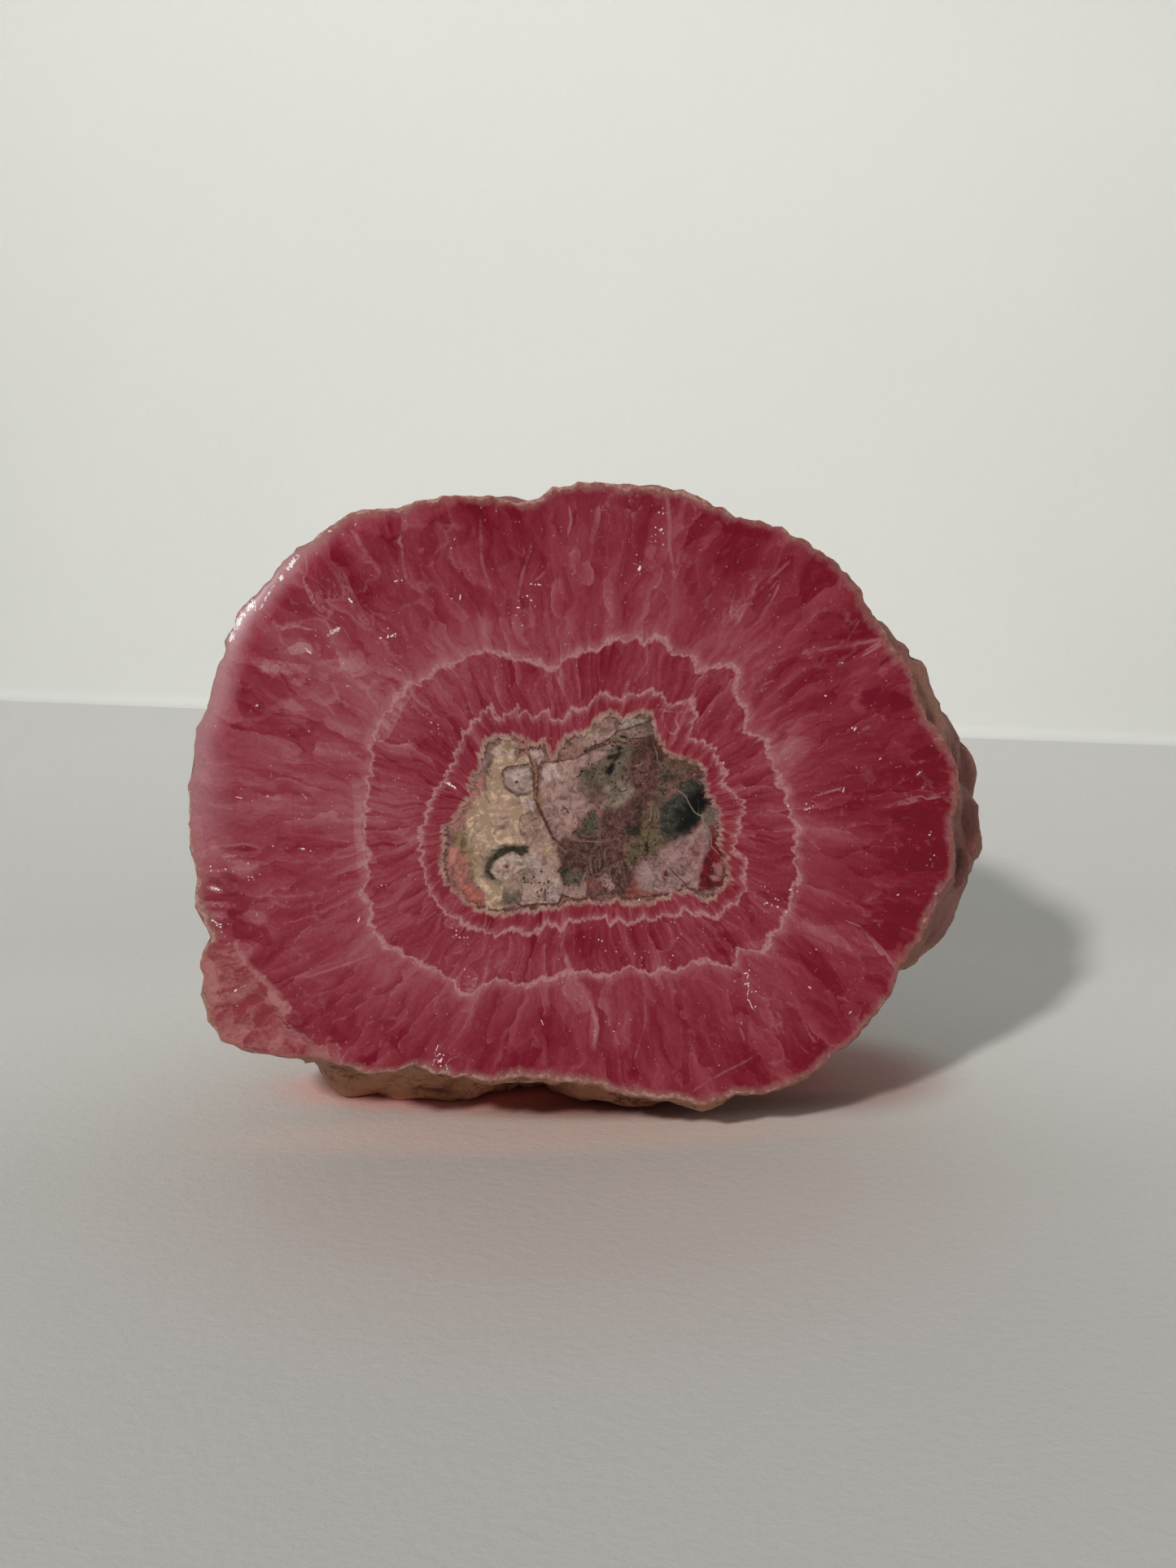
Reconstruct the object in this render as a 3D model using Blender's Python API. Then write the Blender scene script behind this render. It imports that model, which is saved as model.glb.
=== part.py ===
"""A rhodochrosite nodule, sawn through and polished on the cut.

One solid stone. It stands on its rind with the cut upright and facing -Y. Behind the cut the stone swells
out to the right, sags to a resting patch underneath, and closes in a lumpy dome. Sizes are in millimetres,
turned into metres as the mesh is made. The origin is under the middle of the stone, where it rests.
"""

import math

import bmesh
import bpy
import numpy as np
from mathutils import Matrix

MM = 0.001

# Driving dimensions
DEPTH = 63.0  # from the cut to the back of the dome
FULLNESS = 0.62  # below 1, the dome stays wide for longer before it closes
SAG, SAG_WITHIN = 5.5, 18.0  # how far the sections sink behind the cut, and how soon
EVEN_BY = 30.0  # this deep, the sections no longer show the cut's own corners
EVEN_SPREAD = math.radians(40)
RIM_FADE = 8.0  # lumps die away this close to the rim, so that the cut keeps its outline

# The cut's outline, clockwise from the top: x from the middle of the bands' core, z above the table
CUT_MIDDLE = (-3.0, 42.0)
CUT_OUTLINE = [
    (2, 78.7), (8.5, 77.8), (12, 76), (15, 74.7), (21, 72.5), (26, 69), (28.6, 65.2), (31.5, 61.3),
    (34.5, 56.5), (36.2, 51.6), (39, 48.2), (40.2, 43.5), (39.8, 39.5), (40.2, 35), (38.6, 30.4),
    (36.8, 26), (33.8, 20.8), (30.8, 15.2), (26.3, 11), (22, 7.8), (15.5, 6.6), (10.5, 5.5), (5, 6.6),
    (-0.5, 8.2), (-8, 9.3), (-13.8, 9), (-20, 10.5), (-22.5, 11.6), (-26.5, 10.6), (-33.5, 12.4),
    (-41, 13.4), (-44.3, 14.4), (-46.4, 19.5), (-46.6, 24), (-45.1, 27.2), (-46.5, 31), (-47.1, 41),
    (-46.4, 48), (-44.6, 53.8), (-42.6, 60), (-39, 67), (-33.5, 72.6), (-27.5, 75.7), (-20, 77),
    (-11.5, 77.2), (-8, 77), (-6, 78.3), (-2, 78.8),
]

# Where the polish rolls over the upper left edge: middle and half-width of the arc, and the roll's size
ROLL_ANGLE, ROLL_SPREAD = math.radians(155), math.radians(34)
ROLL_WIDTH, ROLL_DROP = 4.5, 2.6

# The broken lower left corner, left of the line between these two points, lies behind the polish
CHIP_LINE = ((-45.1, 27.5), (-32.5, 13.5))
CHIP_STEP, CHIP_SLOPE = 0.7, 0.2

# Swellings of the body: angle round the cut's middle, depth, height, half-width across and along
SWELLINGS = [
    (-3, 20, 9.4, 13, 14),  # the right flank
    (27, 12, 2.6, 9, 8),
    (-30, 20, 5.5, 11, 13),
    (-124, 22, 9.5, 8.5, 9),  # the lump that shows under the cut at the left
    (-93, 28, 5.5, 14, 15),
    (-62, 36, 5.5, 13, 14),
    (-146, 13, 2, 12, 8),
    (155, 12, -1, 30, 12),
    (82, 14, -1.2, 26, 12),
    (178, 36, 2.5, 18, 12),
    (140, 42, 3, 14, 12),
    (60, 42, 3.5, 16, 14),
    (-160, 44, 4, 14, 12),
]

# Knobs of the rind, large and small: how many, their radius, the height of the highest, and the seed
KNOBS = [(64, 11.0, 3.4, 7), (220, 5.5, 1.5, 8)]
KNOB_ROOTS = 2.4  # the knobs rise from this far inside the smooth body
KNOB_SCATTER = (0.15, 0.02)  # how unevenly they lie round the stone, in radians, and along it, as a share
HEART = (-3.0, 22.0, 38.0)  # they point away from here

# Mesh: segments round the stone, rings on the cut by their distance from the rim, and steps over the body.
# The first ring on the cut is its middle point, deeper in than any outline reaches.
SEGMENTS = 120
CUT_RINGS = [60.0, 26.0, 13.0, 8.5, 6.0, 4.2, 2.6, 1.2, 0.0]
RIM_RING = len(CUT_RINGS) - 1
BODY_STEPS = 26


def smooth_step(value):
    """0 below 0, 1 above 1, and an even S between."""
    value = np.clip(value, 0, 1)
    return value * value * (3 - 2 * value)


def rim_radius(angle):
    """The cut's reach from its middle at each angle, from the outline's points."""
    points = np.array(CUT_OUTLINE) - CUT_MIDDLE
    at = np.arctan2(points[:, 1], points[:, 0])
    order = np.argsort(at)
    return np.interp(angle, at[order], np.hypot(*points[order].T), period=2 * math.pi)


def even_radius(angle):
    """The same reach averaged over the neighbouring angles, which takes the outline's corners away."""
    return np.mean([rim_radius(angle + off) for off in np.linspace(-1, 1, 11) * EVEN_SPREAD], axis=0)


def turn_between(angle, other):
    """The angle from one direction to another, from -pi to pi."""
    return (angle - other + math.pi) % (2 * math.pi) - math.pi


def cut_points(angle, inset):
    """Points on the cut, this far in from the rim, with the rolled edge and the chipped corner set back."""
    reach = np.maximum(rim_radius(angle) - inset, 0)
    x = CUT_MIDDLE[0] + reach * np.cos(angle)
    z = CUT_MIDDLE[1] + reach * np.sin(angle)

    share = np.exp(-((turn_between(angle, ROLL_ANGLE) / ROLL_SPREAD) ** 4))
    roll = ROLL_DROP * share * np.clip(1 - inset / ROLL_WIDTH, 0, 1) ** 2

    (x0, z0), (x1, z1) = CHIP_LINE
    beyond = ((x - x0) * (z1 - z0) - (z - z0) * (x1 - x0)) / math.hypot(x1 - x0, z1 - z0)
    chip = CHIP_STEP * smooth_step(beyond / 1.5) + CHIP_SLOPE * np.maximum(beyond, 0)
    return np.stack([x, roll + chip, z], axis=-1)


def body_points(angle, turn):
    """Points behind the rim: turn is 0 at the rim and a quarter turn at the back."""
    depth = DEPTH * np.sin(turn)
    even = smooth_step(depth / EVEN_BY)
    reach = (rim_radius(angle) * (1 - even) + even_radius(angle) * even) * np.cos(turn) ** FULLNESS
    for at, along, height, across, length in SWELLINGS:
        off = turn_between(angle, math.radians(at)) * reach / across
        swell = height * np.exp(-(off**2) - ((depth - along) / length) ** 2)
        reach = reach + swell * smooth_step(depth / RIM_FADE) * np.cos(turn) ** 0.5
    middle_z = CUT_MIDDLE[1] - SAG * (1 - np.exp(-depth / SAG_WITHIN))
    return np.stack([CUT_MIDDLE[0] + reach * np.cos(angle), depth, middle_z + reach * np.sin(angle)], axis=-1)


def knob_height(points, count, radius, height, seed):
    """How far the knobs of one size lift each point: each is a low dome, and the highest one there counts."""
    random = np.random.default_rng(seed)
    index = np.arange(count) + 0.5
    angle = index * math.pi * (3 - math.sqrt(5)) + random.normal(0, KNOB_SCATTER[0], count)
    turn = np.arcsin(np.clip(1 - index / count + random.normal(0, KNOB_SCATTER[1], count), 0, 1))
    away = np.linalg.norm(points[:, None] - body_points(angle, turn), axis=-1)
    away /= radius * random.uniform(0.75, 1.25, count)
    heights = height * random.uniform(0.4, 1, count)
    return (heights * np.sqrt(np.clip(1 - away**2, 0, 1))).max(axis=1)


def even_turns(count):
    """Turns from the rim to the back that divide the dome's profile into this many even steps."""
    turn = np.linspace(0, math.pi / 2, 2000)
    reach = even_radius(0.0) * np.cos(turn) ** FULLNESS
    along = np.concatenate([[0], np.cumsum(np.hypot(np.diff(reach), np.diff(DEPTH * np.sin(turn))))])
    return np.interp(np.linspace(0, along[-1], count + 1), along, turn)


def stone_points(ring, angle):
    """A point of the stone for each ring number and angle, with y counted back from the cut."""
    cut = cut_points(angle, np.take(CUT_RINGS, np.minimum(ring, RIM_RING)))
    body = body_points(angle, np.take(even_turns(BODY_STEPS), np.maximum(ring - RIM_RING, 0)))
    rim_set_back = cut_points(angle, np.zeros_like(angle))[:, 1]
    body[:, 1] += rim_set_back * np.clip(1 - body[:, 1] / RIM_FADE, 0, 1)
    outwards = body - HEART
    outwards /= np.linalg.norm(outwards, axis=1)[:, None]
    lift = sum(knob_height(body, *size) for size in KNOBS) - KNOB_ROOTS
    body += outwards * (lift * smooth_step(body[:, 1] / RIM_FADE))[:, None]

    points = np.where((ring <= RIM_RING)[:, None], cut, body)
    points[:, 2] = np.maximum(points[:, 2], 0)
    return points


def principled(name, colour, roughness):
    """A plain Principled BSDF material."""
    material = bpy.data.materials.new(name)
    material.use_nodes = True
    shader = material.node_tree.nodes["Principled BSDF"]
    shader.inputs["Base Color"].default_value = (*colour, 1)
    shader.inputs["Roughness"].default_value = roughness
    shader.inputs["Metallic"].default_value = 0
    return material


def make_nodule(collection):
    """The stone, shaped from a sphere whose front pole faces -Y."""
    shape = bmesh.new()
    steps = RIM_RING + BODY_STEPS
    bmesh.ops.create_uvsphere(
        shape, u_segments=SEGMENTS, v_segments=steps, radius=1, matrix=Matrix.Rotation(math.pi / 2, 4, "X")
    )
    shape.verts.index_update()
    sphere = np.array([vert.co for vert in shape.verts])
    ring = np.round(np.arccos(np.clip(-sphere[:, 1], -1, 1)) / math.pi * steps).astype(int)
    points = stone_points(ring, np.arctan2(sphere[:, 2], sphere[:, 0]))
    low, high = points.min(axis=0), points.max(axis=0)
    points[:, :2] -= (low[:2] + high[:2]) / 2
    for vert, point in zip(shape.verts, points * MM):
        vert.co = point

    for face in shape.faces:
        outermost = max(ring[vert.index] for vert in face.verts)
        face.material_index = 0 if outermost <= RIM_RING else 1
        face.smooth = True
    bmesh.ops.recalc_face_normals(shape, faces=shape.faces)
    mesh = bpy.data.meshes.new("nodule")
    shape.to_mesh(mesh)
    shape.free()
    mesh.materials.append(principled("polished rhodochrosite", (0.36, 0.035, 0.06), 0.18))
    mesh.materials.append(principled("rind", (0.34, 0.2, 0.15), 0.6))
    mesh.set_sharp_from_angle(angle=math.radians(35))
    nodule = bpy.data.objects.new("nodule", mesh)
    collection.objects.link(nodule)
    return nodule


def main():
    for item in list(bpy.data.objects):
        bpy.data.objects.remove(item)
    collection = bpy.data.collections.new("rhodochrosite nodule")
    bpy.context.scene.collection.children.link(collection)
    make_nodule(collection)


main()
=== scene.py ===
import math

import bpy
import numpy as np
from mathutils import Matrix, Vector


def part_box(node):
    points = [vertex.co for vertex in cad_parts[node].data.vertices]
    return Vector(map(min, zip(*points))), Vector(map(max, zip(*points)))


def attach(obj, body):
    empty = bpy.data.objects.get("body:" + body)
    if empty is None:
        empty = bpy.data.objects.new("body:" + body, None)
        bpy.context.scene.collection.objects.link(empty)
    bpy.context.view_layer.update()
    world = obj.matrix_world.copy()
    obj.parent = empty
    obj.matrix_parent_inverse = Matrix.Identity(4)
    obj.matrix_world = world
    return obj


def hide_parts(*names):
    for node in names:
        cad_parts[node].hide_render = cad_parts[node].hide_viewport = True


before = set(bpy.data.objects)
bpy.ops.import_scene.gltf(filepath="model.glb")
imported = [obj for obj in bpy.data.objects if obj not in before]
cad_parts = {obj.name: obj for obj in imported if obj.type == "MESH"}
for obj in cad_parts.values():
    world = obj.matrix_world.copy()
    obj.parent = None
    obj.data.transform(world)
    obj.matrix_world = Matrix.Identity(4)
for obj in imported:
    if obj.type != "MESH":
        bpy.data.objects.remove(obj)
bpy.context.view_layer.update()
mm = 0.001  # everything below is drawn in millimetres

# The stone's form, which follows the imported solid. The drawing's x runs from its own middle line.
stoneForm = {
    "depth": 63.0,
    "fullness": 0.62,  # below 1, the dome stays wide for longer before it closes
    "sag": 5.5,
    "sagWithin": 18.0,
    "evenBy": 30.0,
    "evenSpread": math.radians(40),
    "rimFade": 8.0,
    "cutMiddle": (-3.0, 42.0),
    "cutHalf": (43, 38),
    "heart": (-3.0, 22.0, 38.0),
    "drawingToFrame": 0.65,
    "rollAngle": math.radians(155),
    "rollSpread": math.radians(31),
    "rollWidth": 3.6,
    "rollDrop": 2.4,
    "rollEven": 0.13,  # the rim that it follows is averaged over this angle to either side
    "chipLine": ((-45.1, 27.5), (-32.5, 13.5)),
    "chipStep": (0.7, 1.5),  # how far back, and over which width
    "chipSlope": 0.2,
    "swellings": [  # angle, depth, height, half-width across and along
        (-3, 20, 9.4, 13, 14), (27, 12, 2.6, 9, 8), (-30, 20, 5.5, 11, 13), (-124, 22, 9.5, 8.5, 9),
        (-93, 28, 5.5, 14, 15), (-62, 36, 5.5, 13, 14), (-146, 13, 2, 12, 8), (155, 12, -1, 30, 12),
        (82, 14, -1.2, 26, 12), (178, 36, 2.5, 18, 12), (140, 42, 3, 14, 12), (60, 42, 3.5, 16, 14),
        (-160, 44, 4, 14, 12),
    ],
    "knobs": [(64, 11.0, 3.4, 7), (220, 5.5, 1.5, 8)],  # count, radius, height of the highest, seed
    "knobRoots": 2.4,
    "knobScatter": (0.15, 0.02),
    # the cut's outline, clockwise from the top: x and z of each point in turn
    "rim": [
        0.5, 78.5, 2, 78.7, 5.5, 78.2, 8.5, 77.8, 10.5, 77.1, 12, 76, 15, 74.7, 18, 74, 21, 72.5, 24, 70.8,
        26, 69, 27.8, 67, 28.6, 65.2, 29.8, 63.4, 31.5, 61.3, 33.3, 58.8, 34.5, 56.5, 35.4, 54, 36.2, 51.6,
        37.5, 50.2, 39, 48.2, 40, 45.5, 40.2, 42.5, 39.8, 39.5, 40.2, 36, 40, 33, 39, 31, 37.8, 28.6,
        36.8, 26, 35.3, 23.6, 33.8, 20.8, 32.7, 18, 30.8, 15.2, 28.8, 12.9, 26.3, 11, 24.5, 9.3, 22, 7.8,
        19, 6.7, 15.5, 6.7, 12.5, 6, 10.5, 5.5, 8.5, 6.2, 5, 6.6, 2, 7.2, -0.5, 8.2, -4, 8.9, -8, 9.3,
        -11.5, 9.7, -13.8, 9, -16.5, 9.8, -20, 10.5, -22.5, 11.6, -25, 10.7, -28, 10.7, -30.5, 11.6,
        -33.6, 12.1, -38.2, 12.5, -41.2, 12.9, -44.6, 14.1, -45.5, 16.6, -46.4, 19.5, -46.6, 24, -45.9, 26.2,
        -45.1, 27.2, -45.7, 28.8, -46.5, 31, -46.7, 35, -47, 40, -47.1, 44.5, -46.4, 48, -45.9, 51.3,
        -44.6, 53.8, -43.8, 56.6, -42.6, 60, -41, 64, -38.7, 66.8, -36, 69.9, -33.2, 72.2, -30.3, 74,
        -27.5, 75.7, -25.5, 76.1, -23.3, 76, -20, 77, -16.5, 77.5, -11.5, 77.2, -10, 76.8, -8, 77, -6, 78.3,
        -3.5, 78.8, -1.5, 78.7,
    ],
}

# How finely the stone is meshed, and the fine relief that its rind has over the solid's
stoneMesh = {
    "around": 576,  # points round the cut's outer rings; a half and a quarter of these nearer its middle
    "innerRings": (16, 5.0),  # how many, and out to which radius
    "middleRings": (17, 10.0),
    "bandRings": (70, 26.0),
    "rimRings": 30,
    "bodySteps": 116,
    "rimGrain": (0.27, 1.3, 0.6),  # how far the rim steps in and out, and the sizes of its steps
    "arris": (0.16, 0.3),  # how far back, and over which width
    "coarseRelief": (3.6, 1.0),  # size of the lumps and how high they stand
    "fineRelief": (1.5, 0.38),
    "pits": (2.4, 0.8),
    "reliefFade": 1.6,
    "chipFacets": (2.2, 0.9),
    "sharpFrom": math.radians(42),  # edges between faces that turn more than this are sharp
}


def add(name, data):
    # a new object in the scene
    item = bpy.data.objects.new(name, data)
    bpy.context.scene.collection.objects.link(item)
    return item


def pointsOf(numbers):
    # x and z in turn, made into points
    return list(zip(numbers[::2], numbers[1::2]))


def columns(*values):
    # several values for each point, side by side
    return np.stack(values, axis=-1)


def smoothStep(value):
    # 0 below 0, 1 above 1, and an even S between
    value = np.clip(value, 0, 1)
    return value * value * (3 - 2 * value)


def latticeNoise(points, size, seed):
    # even random values at the corners of cubes of this size, blended smoothly between: 0 to 1
    at = np.asarray(points, float) / size
    corner = np.floor(at).astype(np.int64)
    share = at - corner
    share = share * share * (3 - 2 * share)
    total = np.zeros(len(at))
    for step in np.ndindex(2, 2, 2):
        cell = corner + step
        x, y, z = cell.T
        mixed = (x * 73856093) ^ (y * 19349663) ^ (z * 83492791) ^ (seed * 2654435761)
        mixed = ((mixed ^ (mixed >> 13)) * 1274126177) & 0x7FFFFFFF
        mixed = ((mixed ^ (mixed >> 11)) * 668265263) & 0x7FFFFFFF
        weight = np.prod(np.where(np.array(step) == 1, share, 1 - share), axis=1)
        total += weight * mixed / 0x7FFFFFFF
    return total


def turnBetween(angle, other):
    # from one direction to another, from -pi to pi
    return (angle - other + math.pi) % (2 * math.pi) - math.pi


def rimRadius(angle):
    # the cut's reach from its middle at each angle, straight between the outline's points
    points = np.array(pointsOf(stoneForm["rim"])) - stoneForm["cutMiddle"]
    at = np.arctan2(points[:, 1], points[:, 0])
    order = np.argsort(at)
    return np.interp(angle, at[order], np.hypot(*points[order].T), period=2 * math.pi)


def evenRadius(angle):
    # that reach averaged over the neighbouring angles
    offsets = np.linspace(-1, 1, 11) * stoneForm["evenSpread"]
    return np.mean([rimRadius(angle + off) for off in offsets], axis=0)


def grainyRim(angle):
    # the rim with small steps, finer than the outline's points
    height, coarse, fine = stoneMesh["rimGrain"]
    halfX, halfZ = stoneForm["cutHalf"]
    ring = columns(np.cos(angle) * halfX, np.sin(angle) * halfZ, np.zeros_like(angle))
    grain = latticeNoise(ring, coarse, 21) + 0.5 * latticeNoise(ring, fine, 22) - 0.75
    return rimRadius(angle) + height * 2 * grain


def beyondChip(x, z):
    # distance past the line where the broken corner begins
    (x0, z0), (x1, z1) = stoneForm["chipLine"]
    return ((x - x0) * (z1 - z0) - (z - z0) * (x1 - x0)) / math.hypot(x1 - x0, z1 - z0)


def setBack(x, z, inset, angle):
    # how far the cut lies behind the saw's plane: its rolled edge, its broken corner and a fine arris
    share = np.exp(-((turnBetween(angle, stoneForm["rollAngle"]) / stoneForm["rollSpread"]) ** 4))
    reach = np.hypot(x - stoneForm["cutMiddle"][0], z - stoneForm["cutMiddle"][1])
    even = stoneForm["rollEven"]
    smoothRim = np.mean([rimRadius(angle + off) for off in np.linspace(-even, even, 9)], axis=0)
    near = np.clip(1 - (smoothRim - reach) / stoneForm["rollWidth"], 0, 1.1)
    roll = stoneForm["rollDrop"] * share * near**2
    beyond = beyondChip(x, z)
    step, within = stoneForm["chipStep"]
    chip = step * smoothStep(beyond / within) + stoneForm["chipSlope"] * np.maximum(beyond, 0)
    size, height = stoneMesh["chipFacets"]
    flat = columns(x + 0.6 * z, 0.5 * x - z, np.zeros_like(x))
    facets = np.abs(latticeNoise(flat, size, 31) - 0.5)
    facets += 0.4 * np.abs(latticeNoise(flat, size * 0.45, 32) - 0.5)
    chip = chip + height * facets * smoothStep(beyond / 0.8)
    height, within = stoneMesh["arris"]
    arris = height * np.clip(1 - inset / within, 0, 1) ** 2
    return roll + chip + arris


def bodyPoints(angle, turn, rim=rimRadius):
    # behind the rim: depth = depth*sin(turn), reach = reach*cos(turn)**fullness, plus the swellings
    depth = stoneForm["depth"] * np.sin(turn)
    even = smoothStep(depth / stoneForm["evenBy"])
    reach = (rim(angle) * (1 - even) + evenRadius(angle) * even) * np.cos(turn) ** stoneForm["fullness"]
    for at, along, height, across, length in stoneForm["swellings"]:
        off = turnBetween(angle, math.radians(at)) * reach / across
        swell = height * np.exp(-(off**2) - ((depth - along) / length) ** 2)
        reach = reach + swell * smoothStep(depth / stoneForm["rimFade"]) * np.cos(turn) ** 0.5
    middleX, middleZ = stoneForm["cutMiddle"]
    middleZ = middleZ - stoneForm["sag"] * (1 - np.exp(-depth / stoneForm["sagWithin"]))
    return columns(middleX + reach * np.cos(angle), depth, middleZ + reach * np.sin(angle))


def knobHeight(points, count, radius, height, seed):
    # low domes strewn evenly over the body, the highest one at each point
    random = np.random.default_rng(seed)
    index = np.arange(count) + 0.5
    angle = index * math.pi * (3 - math.sqrt(5)) + random.normal(0, stoneForm["knobScatter"][0], count)
    turn = np.arcsin(np.clip(1 - index / count + random.normal(0, stoneForm["knobScatter"][1], count), 0, 1))
    centres = bodyPoints(angle, turn)
    radii = radius * random.uniform(0.75, 1.25, count)
    heights = height * random.uniform(0.4, 1, count)
    best = np.zeros(len(points))
    for centre, reach, top in zip(centres, radii, heights):
        away = np.linalg.norm(points - centre, axis=1) / reach
        best = np.maximum(best, top * np.sqrt(np.clip(1 - away**2, 0, 1)))
    return best


def evenTurns(count):
    # turns from the rim to the back that divide the dome's profile into this many even steps
    turn = np.linspace(0, math.pi / 2, 2000)
    reach = evenRadius(0.0) * np.cos(turn) ** stoneForm["fullness"]
    along = np.cumsum(np.hypot(np.diff(reach), np.diff(stoneForm["depth"] * np.sin(turn))))
    along = np.concatenate([[0], along])
    return np.interp(np.linspace(0, along[-1], count + 1), along, turn)


def cutGrid():
    # rings of points on the cut, as circles round its middle that pass over into the rim's outline
    rings = []
    start = 0.0
    for (count, outTo), share in ((stoneMesh["innerRings"], 4), (stoneMesh["middleRings"], 2),
                                  (stoneMesh["bandRings"], 1)):
        around = stoneMesh["around"] // share
        for radius in np.linspace(start, outTo, count + 1)[1:]:
            rings.append((around, radius, 0.0))
        start = outTo
    for share in 1 - (1 - np.linspace(0, 1, stoneMesh["rimRings"] + 1)[1:]) ** 1.25:
        rings.append((stoneMesh["around"], start, share))
    points, insets, angles, counts = [], [], [], []
    for around, radius, share in rings:
        angle = np.arange(around) * 2 * math.pi / around
        rim = grainyRim(angle)
        reach = radius + (rim - radius) * share
        points.append(reach[:, None] * columns(np.cos(angle), np.sin(angle)))
        insets.append(rim - reach)
        angles.append(angle)
        counts.append(around)
    flat = np.concatenate([[[0.0, 0.0]]] + points) + stoneForm["cutMiddle"]
    inset = np.concatenate([[40.0]] + insets)
    angle = np.concatenate([[0.0]] + angles)
    y = setBack(flat[:, 0], flat[:, 1], inset, angle)
    return columns(flat[:, 0], y, flat[:, 1]), inset, counts


def bodyGrid():
    # rings of points over the rind, from just behind the rim to the back, with the knobs and the fine relief
    around = stoneMesh["around"] // 2
    turns = evenTurns(stoneMesh["bodySteps"])[1:-1]
    turn, angle = np.meshgrid(turns, np.arange(around) * 2 * math.pi / around, indexing="ij")
    angle = np.append(angle.ravel(), 0.0)
    turn = np.append(turn.ravel(), math.pi / 2)
    body = bodyPoints(angle, turn, grainyRim)
    reach = rimRadius(angle)[:, None]
    rimAt = stoneForm["cutMiddle"] + reach * columns(np.cos(angle), np.sin(angle))
    rimBack = setBack(rimAt[:, 0], rimAt[:, 1], np.zeros_like(angle), angle)
    behind = body[:, 1].copy()
    body[:, 1] += rimBack * np.clip(1 - behind / stoneForm["rimFade"], 0, 1)
    outwards = body - stoneForm["heart"]
    outwards /= np.linalg.norm(outwards, axis=1)[:, None]
    lift = sum(knobHeight(body, *knob) for knob in stoneForm["knobs"]) - stoneForm["knobRoots"]
    body += outwards * (lift * smoothStep(behind / stoneForm["rimFade"]))[:, None]

    size, height = stoneMesh["coarseRelief"]
    coarse = 1 - 2 * np.abs(latticeNoise(body, size, 41) - 0.5)
    relief = height * (coarse - 0.5)
    size, height = stoneMesh["fineRelief"]
    relief += height * (latticeNoise(body, size, 42) + 0.5 * latticeNoise(body, size * 0.5, 43) - 0.75)
    size, height = stoneMesh["pits"]
    pit = latticeNoise(body, size, 44) * 0.6 + latticeNoise(body, size * 2.3, 45) * 0.4
    pit = smoothStep((pit - 0.64) / 0.12)
    relief -= height * pit
    relief *= smoothStep(behind / stoneMesh["reliefFade"])
    body += outwards * relief[:, None]
    body[:, 2] = np.maximum(body[:, 2], 0)
    return body, relief, pit, around


def ringFaces(counts, first):
    # faces between neighbouring rings: four-sided between equal ones, three-sided where the count doubles
    quads, triangles = [], []
    starts = first + np.concatenate([[0], np.cumsum(counts)])
    for inner, (count, following) in enumerate(zip(counts[:-1], counts[1:])):
        a, b = starts[inner], starts[inner + 1]
        if count == following:
            i = np.arange(count)
            j = (i + 1) % count
            quads.append(columns(a + i, a + j, b + j, b + i))
        elif following == 2 * count:
            i = np.arange(count)
            j = (i + 1) % count
            mid, last = b + 2 * i + 1, b + (2 * i + 2) % following
            triangles.append(columns(a + i, mid, b + 2 * i))
            triangles.append(columns(a + i, a + j, mid))
            triangles.append(columns(a + j, last, mid))
        else:
            i = np.arange(following)
            j = (i + 1) % following
            mid, last = a + 2 * i + 1, a + (2 * i + 2) % count
            triangles.append(columns(a + 2 * i, mid, b + i))
            triangles.append(columns(mid, b + j, b + i))
            triangles.append(columns(mid, last, b + j))
    return quads, triangles


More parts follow.
